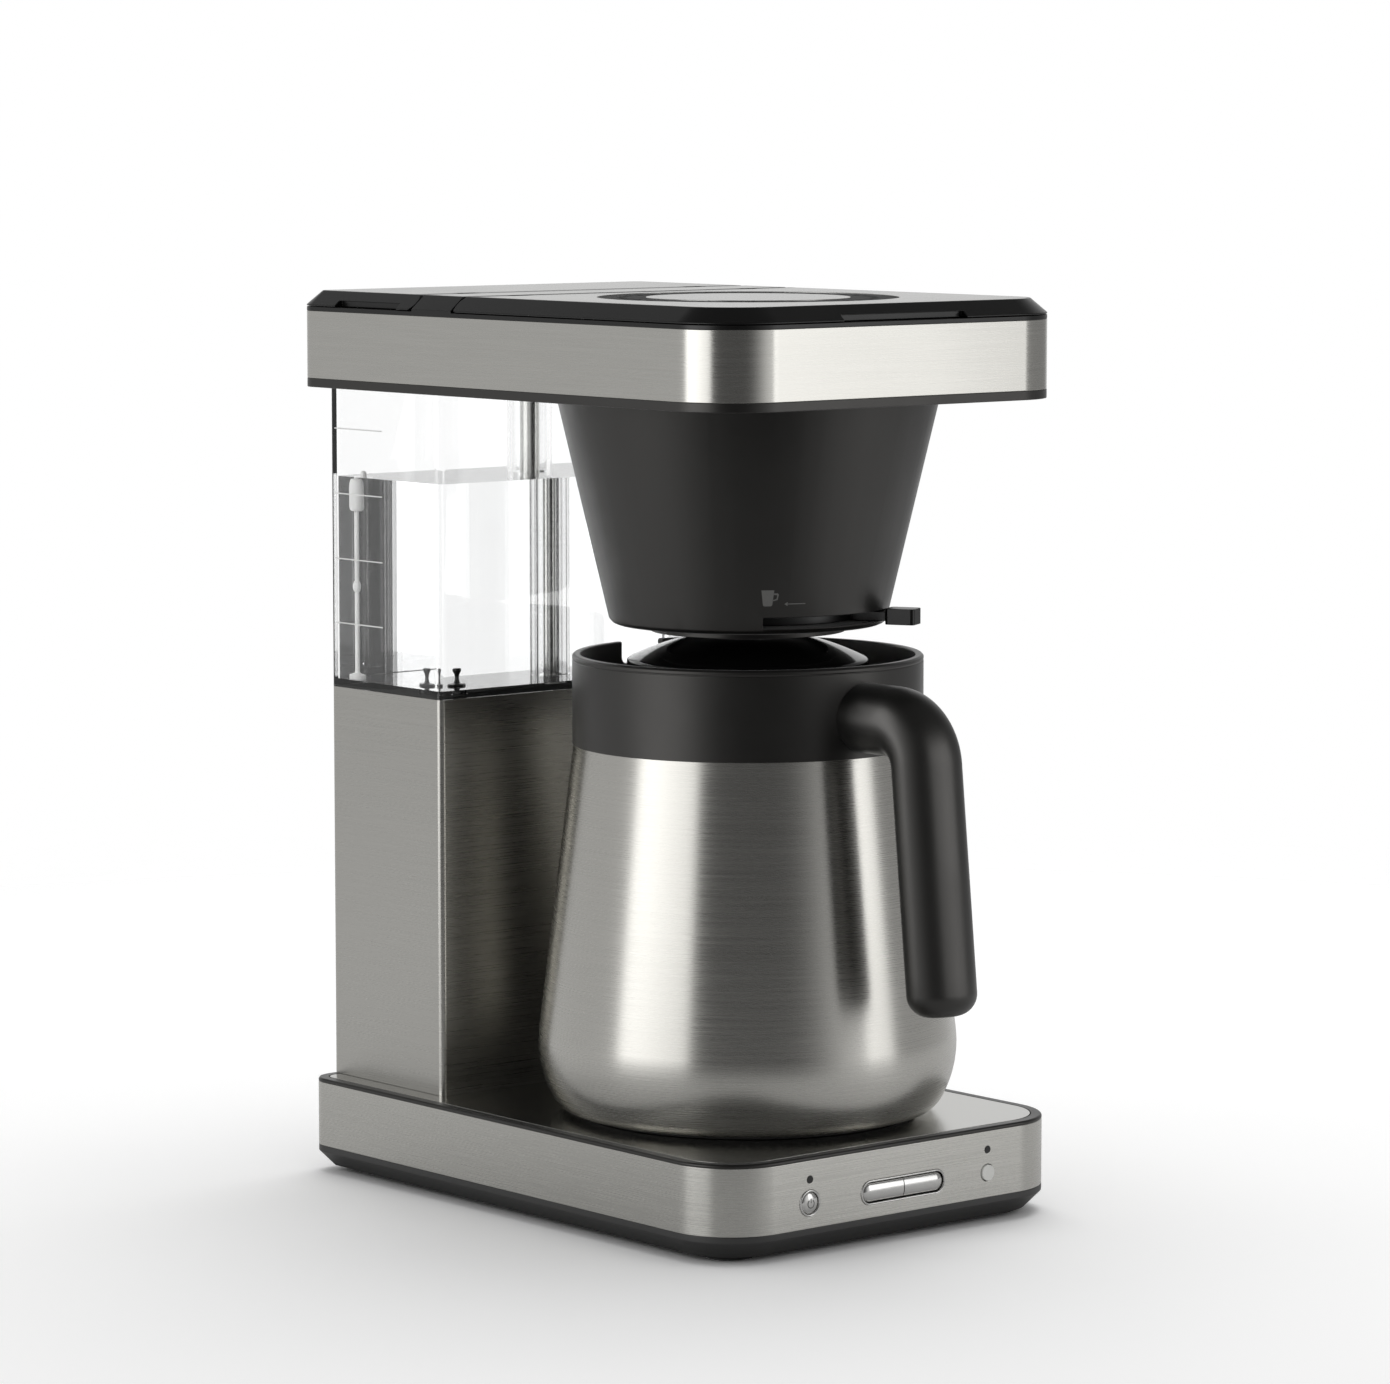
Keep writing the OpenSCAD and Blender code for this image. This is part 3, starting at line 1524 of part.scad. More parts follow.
carafe_lid();
lid_gasket();
lid_tube();
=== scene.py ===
"""Looks of the drip coffee maker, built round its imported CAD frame.

Lengths are in metres, or in mm where a comment says so.
"""

import json
import math

import bmesh
import bpy
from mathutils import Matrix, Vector

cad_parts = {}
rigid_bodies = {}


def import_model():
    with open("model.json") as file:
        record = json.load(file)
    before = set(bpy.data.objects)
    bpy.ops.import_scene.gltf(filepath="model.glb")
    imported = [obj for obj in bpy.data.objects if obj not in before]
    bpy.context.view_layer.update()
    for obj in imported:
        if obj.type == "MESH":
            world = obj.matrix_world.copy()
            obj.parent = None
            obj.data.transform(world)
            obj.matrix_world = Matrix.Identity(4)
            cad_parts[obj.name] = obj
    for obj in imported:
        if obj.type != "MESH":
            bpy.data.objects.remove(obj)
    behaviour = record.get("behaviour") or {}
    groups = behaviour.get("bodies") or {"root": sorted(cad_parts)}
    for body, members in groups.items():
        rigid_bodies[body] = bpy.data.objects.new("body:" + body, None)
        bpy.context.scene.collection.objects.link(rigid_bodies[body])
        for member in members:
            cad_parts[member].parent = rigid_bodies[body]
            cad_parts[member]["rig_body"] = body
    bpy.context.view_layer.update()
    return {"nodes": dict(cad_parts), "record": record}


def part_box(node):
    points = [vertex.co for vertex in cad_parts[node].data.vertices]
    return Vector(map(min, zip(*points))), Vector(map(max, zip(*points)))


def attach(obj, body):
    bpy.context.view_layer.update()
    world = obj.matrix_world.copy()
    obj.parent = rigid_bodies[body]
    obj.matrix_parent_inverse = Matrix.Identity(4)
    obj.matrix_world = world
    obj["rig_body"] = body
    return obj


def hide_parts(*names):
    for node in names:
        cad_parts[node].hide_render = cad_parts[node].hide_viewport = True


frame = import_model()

cad = frame["nodes"]
slot_of = {row["node"]: row["material_slot"] for row in frame["record"]["subparts"]}
MM = 0.001


def low(node):
    """The lowest corner of a node's box."""
    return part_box(node)[0]


def high(node):
    """The highest corner of a node's box."""
    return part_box(node)[1]


def middle(node):
    return (low(node) + high(node)) / 2


BREW_Y = middle("carafe_foot").y

# ---- camera ----

CAMERA_AT = Vector((-1.37177, -1.61968, 0.43175))
CAMERA_AIM = Vector((0.0083, 0.01782, 0.19853))
CAMERA_LENS = 140.96


def add_camera():
    data = bpy.data.cameras.new("camera")
    data.lens = CAMERA_LENS
    data.sensor_width = 36
    data.clip_start, data.clip_end = 0.05, 60
    camera = bpy.data.objects.new("camera", data)
    camera.location = CAMERA_AT
    camera.rotation_mode = "QUATERNION"
    camera.rotation_quaternion = (CAMERA_AIM - CAMERA_AT).to_track_quat("-Z", "Y")
    bpy.context.scene.collection.objects.link(camera)
    bpy.context.scene.camera = camera


# ---- shader trees ----


class Nodes:
    """Short calls for the nodes of one tree."""

    def __init__(self, tree):
        self.tree = tree

    def put(self, node, **sockets):
        for name, value in sockets.items():
            node.inputs[name.replace("_", " ")].default_value = value

    def add(self, kind, **settings):
        node = self.tree.nodes.new(kind)
        for name, value in settings.items():
            setattr(node, name, value)
        return node

    def join(self, source, target):
        self.tree.links.new(source, target)

    def put_in(self, socket, value):
        """Sets a socket to a number, or joins an output to it."""
        if isinstance(value, (int, float)):
            socket.default_value = value
        else:
            self.join(value, socket)

    def math(self, operation, *values):
        """The result of a Math node on numbers and outputs."""
        node = self.add("ShaderNodeMath", operation=operation)
        for socket, value in zip(node.inputs, values):
            self.put_in(socket, value)
        return node.outputs[0]

    def between(self, factor, first, last, start=0.3, end=0.7, easing="LINEAR"):
        """Factor from start to end, turned into a value from first to last."""
        spread = self.add("ShaderNodeMapRange", interpolation_type=easing)
        self.join(factor, spread.inputs["Value"])
        self.put(spread, From_Min=start, From_Max=end, To_Min=first, To_Max=last)
        return spread.outputs["Result"]

    def towards(self, direction, azimuth):
        """How far a direction points towards an azimuth in degrees, from -1 to 1."""
        dot = self.add("ShaderNodeVectorMath", operation="DOT_PRODUCT")
        angle = math.radians(azimuth)
        dot.inputs[1].default_value = (math.cos(angle), math.sin(angle), 0)
        self.join(direction, dot.inputs[0])
        return dot.outputs["Value"]


class Shader(Nodes):
    """A material with one Principled shader."""

    def __init__(self, name, **sockets):
        self.material = bpy.data.materials.new(name)
        self.material.use_nodes = True
        super().__init__(self.material.node_tree)
        self.bsdf = self.tree.nodes["Principled BSDF"]
        self.put(self.bsdf, **sockets)

    def noise(self, scale, detail=4.0, roughness=0.6):
        """Noise in the piece's own coordinates, times scale along each axis."""
        place = self.add("ShaderNodeTexCoord")
        mapping = self.add("ShaderNodeMapping")
        mapping.inputs["Scale"].default_value = scale
        self.join(place.outputs["Object"], mapping.inputs["Vector"])
        texture = self.add("ShaderNodeTexNoise")
        self.put(texture, Scale=1.0, Detail=detail, Roughness=roughness)
        self.join(mapping.outputs["Vector"], texture.inputs["Vector"])
        return texture.outputs["Fac"]

    def colours(self, factor, dark, light):
        mix = self.add("ShaderNodeMix", data_type="RGBA")
        self.join(factor, mix.inputs["Factor"])
        mix.inputs["A"].default_value = (*dark, 1)
        mix.inputs["B"].default_value = (*light, 1)
        self.join(mix.outputs["Result"], self.bsdf.inputs["Base Color"])

    def rough(self, value):
        self.join(value, self.bsdf.inputs["Roughness"])

    def bump(self, height, depth):
        node = self.add("ShaderNodeBump")
        self.put(node, Distance=depth, Strength=1.0)
        self.join(height, node.inputs["Height"])
        self.join(node.outputs["Normal"], self.bsdf.inputs["Normal"])


def shaded(colour, share):
    """A colour made darker or lighter by a share, and never above full."""
    return tuple(min(1.0, c * share) for c in colour)


def brushed_steel(name, colour, grain, axis, roughness, anisotropy, depth=8e-7):
    """Steel with brushing lines; grain is their scale per metre, and the shine turns round the axis."""
    shader = Shader(name, Metallic=1.0, Anisotropic=anisotropy, Anisotropic_Rotation=0.25)
    lines = shader.noise(grain, detail=5.0, roughness=0.7)
    clouds = shader.noise((9, 9, 9), detail=2.0)
    shader.colours(shader.between(lines, 0, 1, 0.35, 0.65), shaded(colour, 0.955), shaded(colour, 1.03))
    wear = shader.math("MULTIPLY_ADD", clouds, 0.35, lines)
    shader.rough(shader.between(wear, roughness - 0.04, roughness + 0.06, 0.45, 0.9))
    shader.bump(lines, depth)
    if anisotropy:
        tangent = shader.add("ShaderNodeTangent", direction_type="RADIAL", axis=axis)
        shader.join(tangent.outputs["Tangent"], shader.bsdf.inputs["Tangent"])
    return shader.material


def moulded(name, colour, roughness, spread, grain=5200, depth=6e-6, **sockets):
    """Moulded plastic with a fine grain and a slow drift in its gloss."""
    shader = Shader(name, **sockets)
    fine = shader.noise((grain, grain, grain), detail=2.0)
    slow = shader.noise((26, 26, 26), detail=3.0)
    shader.colours(slow, shaded(colour, 0.86), shaded(colour, 1.14))
    shader.rough(shader.between(slow, roughness - spread, roughness + spread))
    shader.bump(fine, depth)
    return shader.material


def clear_body(name, colour, ior, wave):
    """A clear body with faint upright waves, which lets the lamps' light through to what is inside it."""
    shader = Shader(name, IOR=ior, Transmission_Weight=1.0, Roughness=0.0)
    shader.bump(shader.noise((110, 110, 0.1), detail=1.0), wave)
    haze = shader.noise((60, 60, 60), detail=3.0)
    shader.colours(haze, shaded(colour, 0.985), colour)
    rays = shader.add("ShaderNodeLightPath")
    open_way = shader.add("ShaderNodeBsdfTransparent")
    blend = shader.add("ShaderNodeMixShader")
    shader.join(rays.outputs["Is Shadow Ray"], blend.inputs["Fac"])
    shader.join(shader.bsdf.outputs["BSDF"], blend.inputs[1])
    shader.join(open_way.outputs["BSDF"], blend.inputs[2])
    shader.join(blend.outputs["Shader"], shader.tree.nodes["Material Output"].inputs["Surface"])
    return shader.material


WARM = (1.0, 0.975, 0.94, 1.0)
CLEAR = (0.998, 1.0, 1.0)
ROUND_LINES = (20, 20, 2600)
LONG_LINES = (2400, 14, 2400)
materials = {
    "band_steel": brushed_steel("band_steel", (0.615, 0.606, 0.572), ROUND_LINES, "Z", 0.26, 0.7),
    "column_steel": brushed_steel("column_steel", (0.565, 0.556, 0.525), ROUND_LINES, "Z", 0.28, 0.7),
    "jug_steel": brushed_steel("jug_steel", (0.605, 0.594, 0.56), ROUND_LINES, "Z", 0.27, 0.7, 2.5e-7),
    "plate_steel": brushed_steel("plate_steel", (0.57, 0.57, 0.555), LONG_LINES, "Y", 0.26, 0.0),
    "base_steel": brushed_steel("base_steel", (0.56, 0.555, 0.53), LONG_LINES, "Y", 0.2, 0.0, 5e-7),
    "inner_steel": brushed_steel("inner_steel", (0.6, 0.6, 0.58), (300, 300, 900), "Z", 0.22, 0.0),
    "fastener": brushed_steel("fastener", (0.55, 0.55, 0.54), (900, 900, 900), "Z", 0.3, 0.0),
    "alloy": brushed_steel("alloy", (0.6, 0.61, 0.62), (700, 700, 700), "Z", 0.45, 0.0, 3e-5),
    "button_metal": brushed_steel("button_metal", (0.72, 0.715, 0.7), (400, 400, 1800), "Z", 0.16, 0.0, 4e-7),
    "black_plastic": moulded("black_plastic", (0.0025, 0.0025, 0.0023), 0.38, 0.04, Specular_IOR_Level=0.82,
                              Specular_Tint=WARM, Sheen_Weight=0.12, Sheen_Roughness=0.3),
    "gloss_black": moulded("gloss_black", (0.003, 0.003, 0.003), 0.1, 0.03, 900, 1e-6),
    "lid_black": moulded("lid_black", (0.0018, 0.0018, 0.0017), 0.3, 0.03, 3000, 2e-6),
    "vent_black": moulded("vent_black", (0.003, 0.003, 0.003), 0.58, 0.04, Specular_IOR_Level=0.2),
    # the skirt's black is a lighter copy of the black plastic: real black plastic with a painted reflection
    # of the bright floor in its colour
    "skirt_black_painted_reflection": moulded("skirt_black_painted_reflection", (0.022, 0.022, 0.0215), 0.42, 0.04, Specular_IOR_Level=0.8),
    "white_plastic": moulded("white_plastic", (0.78, 0.78, 0.75), 0.3, 0.06),
    # the float's white is a lighter copy of the white plastic: real white plastic with painted light making
    # up for the light that the tank and water hold back
    "float_white_painted_light": moulded("float_white_painted_light", (0.87, 0.87, 0.86), 0.4, 0.05),
    "rubber": moulded("rubber", (0.022, 0.022, 0.022), 0.75, 0.08, 2500, 3e-5),
    "silicone": moulded("silicone", (0.62, 0.62, 0.6), 0.5, 0.08, 2500, 1e-5, Subsurface_Weight=0.2),
    "board": moulded("board", (0.03, 0.16, 0.07), 0.35, 0.08),
    "lamp": moulded("lamp", (0.02, 0.02, 0.02), 0.18, 0.05),
    "print_grey": moulded("print_grey", (0.13, 0.13, 0.125), 0.5, 0.05),
    "print_white": moulded("print_white", (0.8, 0.8, 0.79), 0.5, 0.05),
    "clear_plastic": clear_body("clear_plastic", CLEAR, 1.5, 4e-6),
    "water": clear_body("water", CLEAR, 1.333, 2.5e-5),
}

# ---- making pieces ----


def make_piece(name, shape, body, material, smooth=35):
    """Turns a bmesh into a piece that rides on a body; edges past the smooth angle stay sharp."""
    bmesh.ops.recalc_face_normals(shape, faces=shape.faces)
    mesh = bpy.data.meshes.new(name)
    shape.to_mesh(mesh)
    shape.free()
    mesh.materials.append(materials[material])
    for face in mesh.polygons:
        face.use_smooth = True
    mesh.set_sharp_from_angle(angle=math.radians(smooth))
    piece = bpy.data.objects.new(name, mesh)
    bpy.context.scene.collection.objects.link(piece)
    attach(piece, body)
    return piece


def even_normals(piece):
    """Weights the normals by the faces' size, so that flat faces stay flat beside the rounded edges."""
    even = piece.modifiers.new("even_normals", "WEIGHTED_NORMAL")
    even.keep_sharp = True
    even.weight = 50


SHARP_EDGE = math.radians(25)


def dressed(node, width, material=None):
    """A copy of a CAD node with its sharp edges rounded by a width in mm, which stands for the node."""
    shape = bmesh.new()
    shape.from_mesh(cad[node].data)
    bmesh.ops.remove_doubles(shape, verts=shape.verts, dist=2e-6)
    bmesh.ops.dissolve_limit(shape, angle_limit=math.radians(0.2), verts=shape.verts, edges=shape.edges)
    sharp = [e for e in shape.edges if len(e.link_faces) == 2 and e.calc_face_angle(0) > SHARP_EDGE]
    bmesh.ops.bevel(shape, geom=sharp, offset=width * MM, offset_type="OFFSET", segments=3, profile=0.5,
                    affect="EDGES", clamp_overlap=False)
    slot = slot_of[node]
    piece = make_piece(node + "_finish", shape, cad[node]["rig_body"], material or slot)
    even_normals(piece)
    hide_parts(node)


def arc(x, z, radius, start, end, steps):
    """Points on an arc, whose start and end are in degrees."""
    turn = [math.radians(start + (end - start) * i / steps) for i in range(steps + 1)]
    return [(x + radius * math.cos(a), z + radius * math.sin(a)) for a in turn]


def lathe(profile, x=0.0, y=0.0, steps=192):
    """A closed profile of (radius, height) in mm, turned round an upright axis."""
    shape = bmesh.new()
    turns = [2 * math.pi * i / steps for i in range(steps)]
    rings = []
    for r, z in profile:
        if r == 0:
            rings.append([shape.verts.new((x, y, z * MM))])
            continue
        ring = [(x + r * MM * math.cos(a), y + r * MM * math.sin(a), z * MM) for a in turns]
        rings.append([shape.verts.new(point) for point in ring])
    for a, b in zip(rings, rings[1:] + rings[:1]):
        if len(a) == len(b) == 1:
            continue
        for i in range(steps):
            j = (i + 1) % steps
            corners = [a[i % len(a)], a[j % len(a)], b[j % len(b)], b[i % len(b)]]
            shape.faces.new(list(dict.fromkeys(corners)))
    return shape


def bridge_loops(shape, loops):
    """Quads between successive closed loops of the same length."""
    for a, b in zip(loops, loops[1:]):
        for i in range(len(a)):
            j = (i + 1) % len(a)
            shape.faces.new((a[i], a[j], b[j], b[i]))


def swept(path, radii, sides=64):
    """A round bar along a path of (outwards, up) points in mm in front of the brewing axis."""
    shape = bmesh.new()
    turns = [2 * math.pi * k / sides for k in range(sides)]
    loops = []
    for i, (out, up) in enumerate(path):
        ahead = Vector(path[min(i + 1, len(path) - 1)]) - Vector(path[max(i - 1, 0)])
        ahead.normalize()
        centre = Vector((0, BREW_Y - out * MM, up * MM))
        side = Vector((radii[i] * MM, 0, 0))
        across = radii[i] * MM * Vector((0, ahead.y, ahead.x))
        loops.append([shape.verts.new(centre + side * math.cos(a) + across * math.sin(a)) for a in turns])
    bridge_loops(shape, loops)
    shape.faces.new(loops[0])
    shape.faces.new(loops[-1])
    return shape


# ---- carafe (mm) ----

JUG_FOOT_Z = low("carafe_foot").z / MM
JUG_TOP_Z = low("carafe_collar").z / MM
STEEL_T = 0.9
BELLY_CURVE = 44.0
BELLY_R = high("carafe_shell").x / MM - BELLY_CURVE
BELLY_Z = JUG_FOOT_Z + 27.3
FOOT_CURVE = 12.0
FOOT_T = 2.0
SHOULDER_BLEND = 60.0
NECK_R = 67.8
NECK_H = 7.0


def carafe_shell():
    """The jug's steel shell with its rounded foot, round belly and long shoulder."""
    foot_z = JUG_FOOT_Z + FOOT_CURVE
    link = BELLY_CURVE - FOOT_CURVE
    foot_angle = math.degrees(math.asin((BELLY_Z - foot_z) / link))
    foot_r = BELLY_R + link * math.cos(math.radians(foot_angle))
    neck_z = JUG_TOP_Z - NECK_H
    reach = math.hypot(NECK_R - BELLY_R, neck_z - BELLY_Z)
    belly_top = math.degrees(math.atan2(neck_z - BELLY_Z, NECK_R - BELLY_R) - math.acos(BELLY_CURVE / reach))
    start = math.degrees(math.asin((FOOT_T - FOOT_CURVE) / FOOT_CURVE))

    def side(inset):
        points = arc(foot_r, foot_z, FOOT_CURVE - inset, start, -foot_angle, 14)
        points += arc(BELLY_R, BELLY_Z, BELLY_CURVE - inset, -foot_angle, belly_top, 26)[1:]
        cut = SHOULDER_BLEND * math.tan(math.radians(belly_top / 2))
        return points + arc(NECK_R - inset - SHOULDER_BLEND, neck_z + cut, SHOULDER_BLEND, belly_top, 0, 6)

    profile = [(0, JUG_FOOT_Z + FOOT_T)] + side(0)
    profile += [(NECK_R, JUG_TOP_Z - 0.2), (NECK_R - 0.2, JUG_TOP_Z), (NECK_R - STEEL_T, JUG_TOP_Z)]
    profile += side(STEEL_T)[::-1] + [(0, JUG_FOOT_Z + FOOT_T + STEEL_T)]
    piece = make_piece("carafe_shell_finish", lathe(profile, y=BREW_Y), "carafe", "jug_steel")
    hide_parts("carafe_shell")


GRIP = "carafe_handle_finish"
GRIP_R = high("carafe_handle").x / MM
ARM_Z = high("carafe_handle").z / MM - GRIP_R
GRIP_LEAN = math.radians(6)
GRIP_BEND = 17.0
GRIP_OUT = 112.7
GRIP_FOOT_Z = 89.4
GRIP_ROUND = 8.5
ARM_ROOT = 66.2


def carafe_handle():
    """The round handle: an arm from the collar, one bend, and a grip that leans out to a rounded foot."""
    sin, cos = math.sin(GRIP_LEAN), math.cos(GRIP_LEAN)
    length = (ARM_Z - GRIP_BEND + GRIP_BEND * sin - GRIP_FOOT_Z) / cos
    bend_out = GRIP_OUT - length * sin - GRIP_BEND * cos
    path = [(ARM_ROOT + (bend_out - ARM_ROOT) * i / 6, ARM_Z) for i in range(6)]
    path += arc(bend_out, ARM_Z - GRIP_BEND, GRIP_BEND, 90, math.degrees(GRIP_LEAN), 24)
    radii = [GRIP_R] * len(path)
    straight = length - GRIP_ROUND
    top_out, top_z = path[-1]
    for i in range(1, 13):
        path.append((top_out + straight * sin * i / 12, top_z - straight * cos * i / 12))
        radii.append(GRIP_R)
    for r, along in arc(GRIP_R - GRIP_ROUND, 0, GRIP_ROUND, 0, 90, 10)[1:]:
        path.append((top_out + (straight + along) * sin, top_z - (straight + along) * cos))
        radii.append(r)
    piece = make_piece(GRIP, swept(path, radii), "carafe", "black_plastic")
    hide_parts("carafe_handle")


LID_TOP_Z = high("carafe_lid").z / MM
LID_RIM_R = high("carafe_lid").x / MM
LID_SKIRT_H = 9.0
LID_SKIRT_R = 55.4
LID_WALL = 2.2
LIP_H = 5.0
LIP_W = 2.4
LIP_ROUND = 0.6
TROUGH_H = 2.5
DOME_R = 47.0
DOME_FLAT_R = 19.0
DOME_DROP = 9.0
DRIP_HOLE_R = 8.0


def dome_height(r):
    """The height of the lid's dome at a radius, from its flat top to its edge."""
    share = max(0.0, (r - DOME_FLAT_R) / (DOME_R - DOME_FLAT_R))
    return LID_TOP_Z - DOME_DROP * share ** 1.4


def carafe_lid():
    """The lid: a dome with a drip hole, a trough round it and a threaded skirt below."""
    base = low("carafe_lid").z / MM + LID_SKIRT_H
    lip_top, lip_in = base + LIP_H, LID_RIM_R - LIP_W
    edge_z = dome_height(DOME_R)
    dome = [DOME_R - (DOME_R - DRIP_HOLE_R) * i / 40 for i in range(37)]
    profile = [(LID_RIM_R, base), (LID_RIM_R, lip_top - LIP_ROUND), (LID_RIM_R - LIP_ROUND, lip_top),
               (lip_in + LIP_ROUND, lip_top), (lip_in, lip_top - LIP_ROUND), (lip_in, base + TROUGH_H),
               (DOME_R, base + TROUGH_H), (DOME_R, edge_z - 0.8), (DOME_R - 0.2, edge_z - 0.2)]
    profile += [(r, dome_height(r)) for r in dome[1:] if r > DRIP_HOLE_R + 3.5]
    hole_round = ((3, 0), (1.4, 0.5), (0.4, 1.4), (0, 2.4))
    profile += [(DRIP_HOLE_R + out, LID_TOP_Z - down) for out, down in hole_round]
    hole_out = DRIP_HOLE_R + LID_WALL
    profile += [(DRIP_HOLE_R, base), (hole_out, base), (hole_out, LID_TOP_Z - LID_WALL)]
    profile += [(r - LID_WALL, dome_height(r) - LID_WALL) for r in reversed(dome) if r > DRIP_HOLE_R + 6]
    skirt_in, skirt_foot = LID_SKIRT_R - LID_WALL, base - LID_SKIRT_H
    profile += [(DOME_R - LID_WALL, base), (skirt_in, base), (skirt_in, skirt_foot)]
    profile += [(LID_SKIRT_R, skirt_foot), (LID_SKIRT_R, base)]
    shape = lathe(profile, y=BREW_Y)
    piece = make_piece("carafe_lid_finish", shape, "carafe_lid", "gloss_black")
    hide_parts("carafe_lid")


# ---- controls (mm) ----

POWER_R = 4.1
POWER_RISE = 1.1
POWER_RING_R = 5.15
POWER_RING_HOLE = 4.25
POWER_RING_RISE = 0.45
PILL_R = 3.6
PILL_RISE = 1.5
PILL_HALF = 16.8
PILL_GAP = 0.4
PILL_RING_R = 4.8
PILL_RING_HOLE = 4.0
PILL_RING_RISE = 0.4
RING_SET_BACK = 0.3
CONTROL_DEPTH = 2
SYMBOL_R = 1.55
SYMBOL_W = 0.4
SYMBOL_DROP = 0.2


def domed_pill(x, z, half, radius, front, back, rise, inner=0.0, steps=24):
    """A pill in the XZ plane, domed towards -Y; half is half its straight part, and inner a hole's radius."""
    shape = bmesh.new()
    ends = [math.radians(-90 + 180 * i / steps) for i in range(steps + 1)]

    def loop(r, y):
        right = [(x + half + r * math.cos(a), z + r * math.sin(a)) for a in ends]
        left = [(x - half - r * math.cos(a), z - r * math.sin(a)) for a in ends]
        return [shape.verts.new((px * MM, y * MM, pz * MM)) for px, pz in right + left]

    span = (radius - inner) / 2 if inner else radius
    curve = [(math.cos(a), math.sin(a)) for a in (math.radians(90 * i / 8) for i in range(9))]
    loops = [loop(radius, back)]
    loops += [loop(radius - span * (1 - c), front + rise * (1 - s)) for c, s in curve[:-1]]
    if inner:
        loops += [loop(inner + span * (1 - c), front + rise * (1 - s)) for c, s in reversed(curve)]
        loops.append(loop(inner, back))
        bridge_loops(shape, loops + loops[:1])
    else:
        loops.append(loop(0.02, front))
        bridge_loops(shape, loops)
        shape.faces.new(loops[0])
        shape.faces.new(loops[-1])
    return shape


def cut_at(shape, x, side):
    """Keeps what lies on one side of a plane across X, with a flat end there."""
    found = bmesh.ops.bisect_plane(shape, geom=shape.verts[:] + shape.edges[:] + shape.faces[:],
                                   plane_co=(x * MM, 0, 0), plane_no=(-side, 0, 0), clear_outer=True)
    edges = [e for e in found["geom_cut"] if isinstance(e, bmesh.types.BMEdge)]
    bmesh.ops.holes_fill(shape, edges=edges)


def control(node, shape, body):
    """A button or a ring that stands for its node."""
    piece = make_piece(node + "_finish", shape, body, "button_metal")
    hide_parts(node)


def power_symbol(x, z, front):
    """The broken ring and its bar, printed on the power button's dome."""

    def on_dome(u, v, t):
        sunk = POWER_RISE * (1 - math.sqrt(1 - (u * u + v * v) / POWER_R ** 2))
        return Vector(((x + u) * MM, (front + sunk) * MM - t, (z + v) * MM))

    half = SYMBOL_W / 2
    ring = arc(0, -SYMBOL_DROP, SYMBOL_R + half, 125, 415, 24)
    ring += arc(0, -SYMBOL_DROP, SYMBOL_R - half, 415, 125, 24)
    stroke = bar(-half, 0.1, half, 1.9)
    decal("power_symbol", [ring, stroke], on_dome, "power_button", "print_grey", 0.04 * MM)


def controls():
    """The front's domed buttons and their rings."""
    front = low("power_button").y / MM
    back = low("base_band").y / MM + CONTROL_DEPTH
    ring_front = front + RING_SET_BACK
    x, z = middle("power_button").x / MM, middle("power_button").z / MM
    control("power_button", domed_pill(x, z, 0, POWER_R, front, back, POWER_RISE), "power_button")
    power_symbol(x, z, front)
    ring = domed_pill(x, z, 0, POWER_RING_R, ring_front, back, POWER_RING_RISE, POWER_RING_HOLE)
    control("power_bezel", ring, "machine")
    x = middle("brew_bezel").x / MM
    for side, node in ((-1, "brew_button_left"), (1, "brew_button_right")):
        shape = domed_pill(x, z, PILL_HALF, PILL_R, front, back, PILL_RISE)
        cut_at(shape, x + side * PILL_GAP / 2, side)
        control(node, shape, node)
    ring = domed_pill(x, z, PILL_HALF, PILL_RING_R, ring_front, back, PILL_RING_RISE, PILL_RING_HOLE)
    control("brew_bezel", ring, "machine")


# ---- tank (mm) ----

WATER_TOP = 281.5
TANK_WALL = 2.4
TANK_CORNER = 2.5
TANK_FLOOR = 3.2
SHROUD_Y = middle("riser_tube").y / MM
SHROUD_R = 9.1
SHROUD_WALL = 1.8
TRAY_T = 3.0
BEAD_Z = 237
BEAD_R, BEAD_H = 2.2, 2.8
ROD_R = 1.3
MARK_LEVELS = (222.5, 248.4, 274.6, 300.7)
MARK_FROM, MARK_TO = 3.5, 35.0
MARK_T = 0.5


def tank_plan(inset, radius, z, steps=8, parts=28):
    """The tank's plan with round corners and evenly split sides, counter-clockwise."""
    margin = inset + radius
    x0, y0 = (v / MM + margin for v in low("water_tank")[:2])
    x1, y1 = (v / MM - margin for v in high("water_tank")[:2])
    corners = [arc(x1, y0, radius, -90, 0, steps), arc(x1, y1, radius, 0, 90, steps),
               arc(x0, y1, radius, 90, 180, steps), arc(x0, y0, radius, 180, 270, steps)]
    points = []
    for here, after in zip(corners, corners[1:] + corners[:1]):
        (ax, ay), (bx, by) = here[-1], after[0]
        points += here + [(ax + (bx - ax) * i / parts, ay + (by - ay) * i / parts) for i in range(1, parts)]
    return [(x, y, z) for x, y in points]


def shroud_ring(plan, radius, z):
    """A circle round the riser with one point for each point of the plan."""
    turns = [math.atan2(y - SHROUD_Y, x) for x, y, _ in plan]
    return [(radius * math.cos(a), SHROUD_Y + radius * math.sin(a), z) for a in turns]


def closed_body(loops):
    """A solid whose skin runs through closed loops of the same length and back to the first."""
    shape = bmesh.new()
    rings = [[shape.verts.new(Vector(point) * MM) for point in loop] for loop in loops]
    bridge_loops(shape, rings + rings[:1])
    return shape


def water_tank():
    """The clear tank: four walls, its floor and the shroud round the riser, in one moulding."""
    foot, shroud_top = low("water_tank").z / MM, high("water_tank").z / MM
    floor, rim = foot + TANK_FLOOR, shroud_top - TRAY_T
    outer = tank_plan(0, TANK_CORNER, foot)
    inner = tank_plan(TANK_WALL, TANK_CORNER - 0.2, rim)
    bore = SHROUD_R - SHROUD_WALL
    loops = [outer, tank_plan(0, TANK_CORNER, rim), inner, [(x, y, floor) for x, y, _ in inner],
             shroud_ring(inner, SHROUD_R, floor), shroud_ring(inner, SHROUD_R, shroud_top),
             shroud_ring(inner, bore, shroud_top), shroud_ring(inner, bore, foot)]
    piece = make_piece("water_tank_finish", closed_body(loops), "machine", "clear_plastic")
    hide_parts("water_tank")


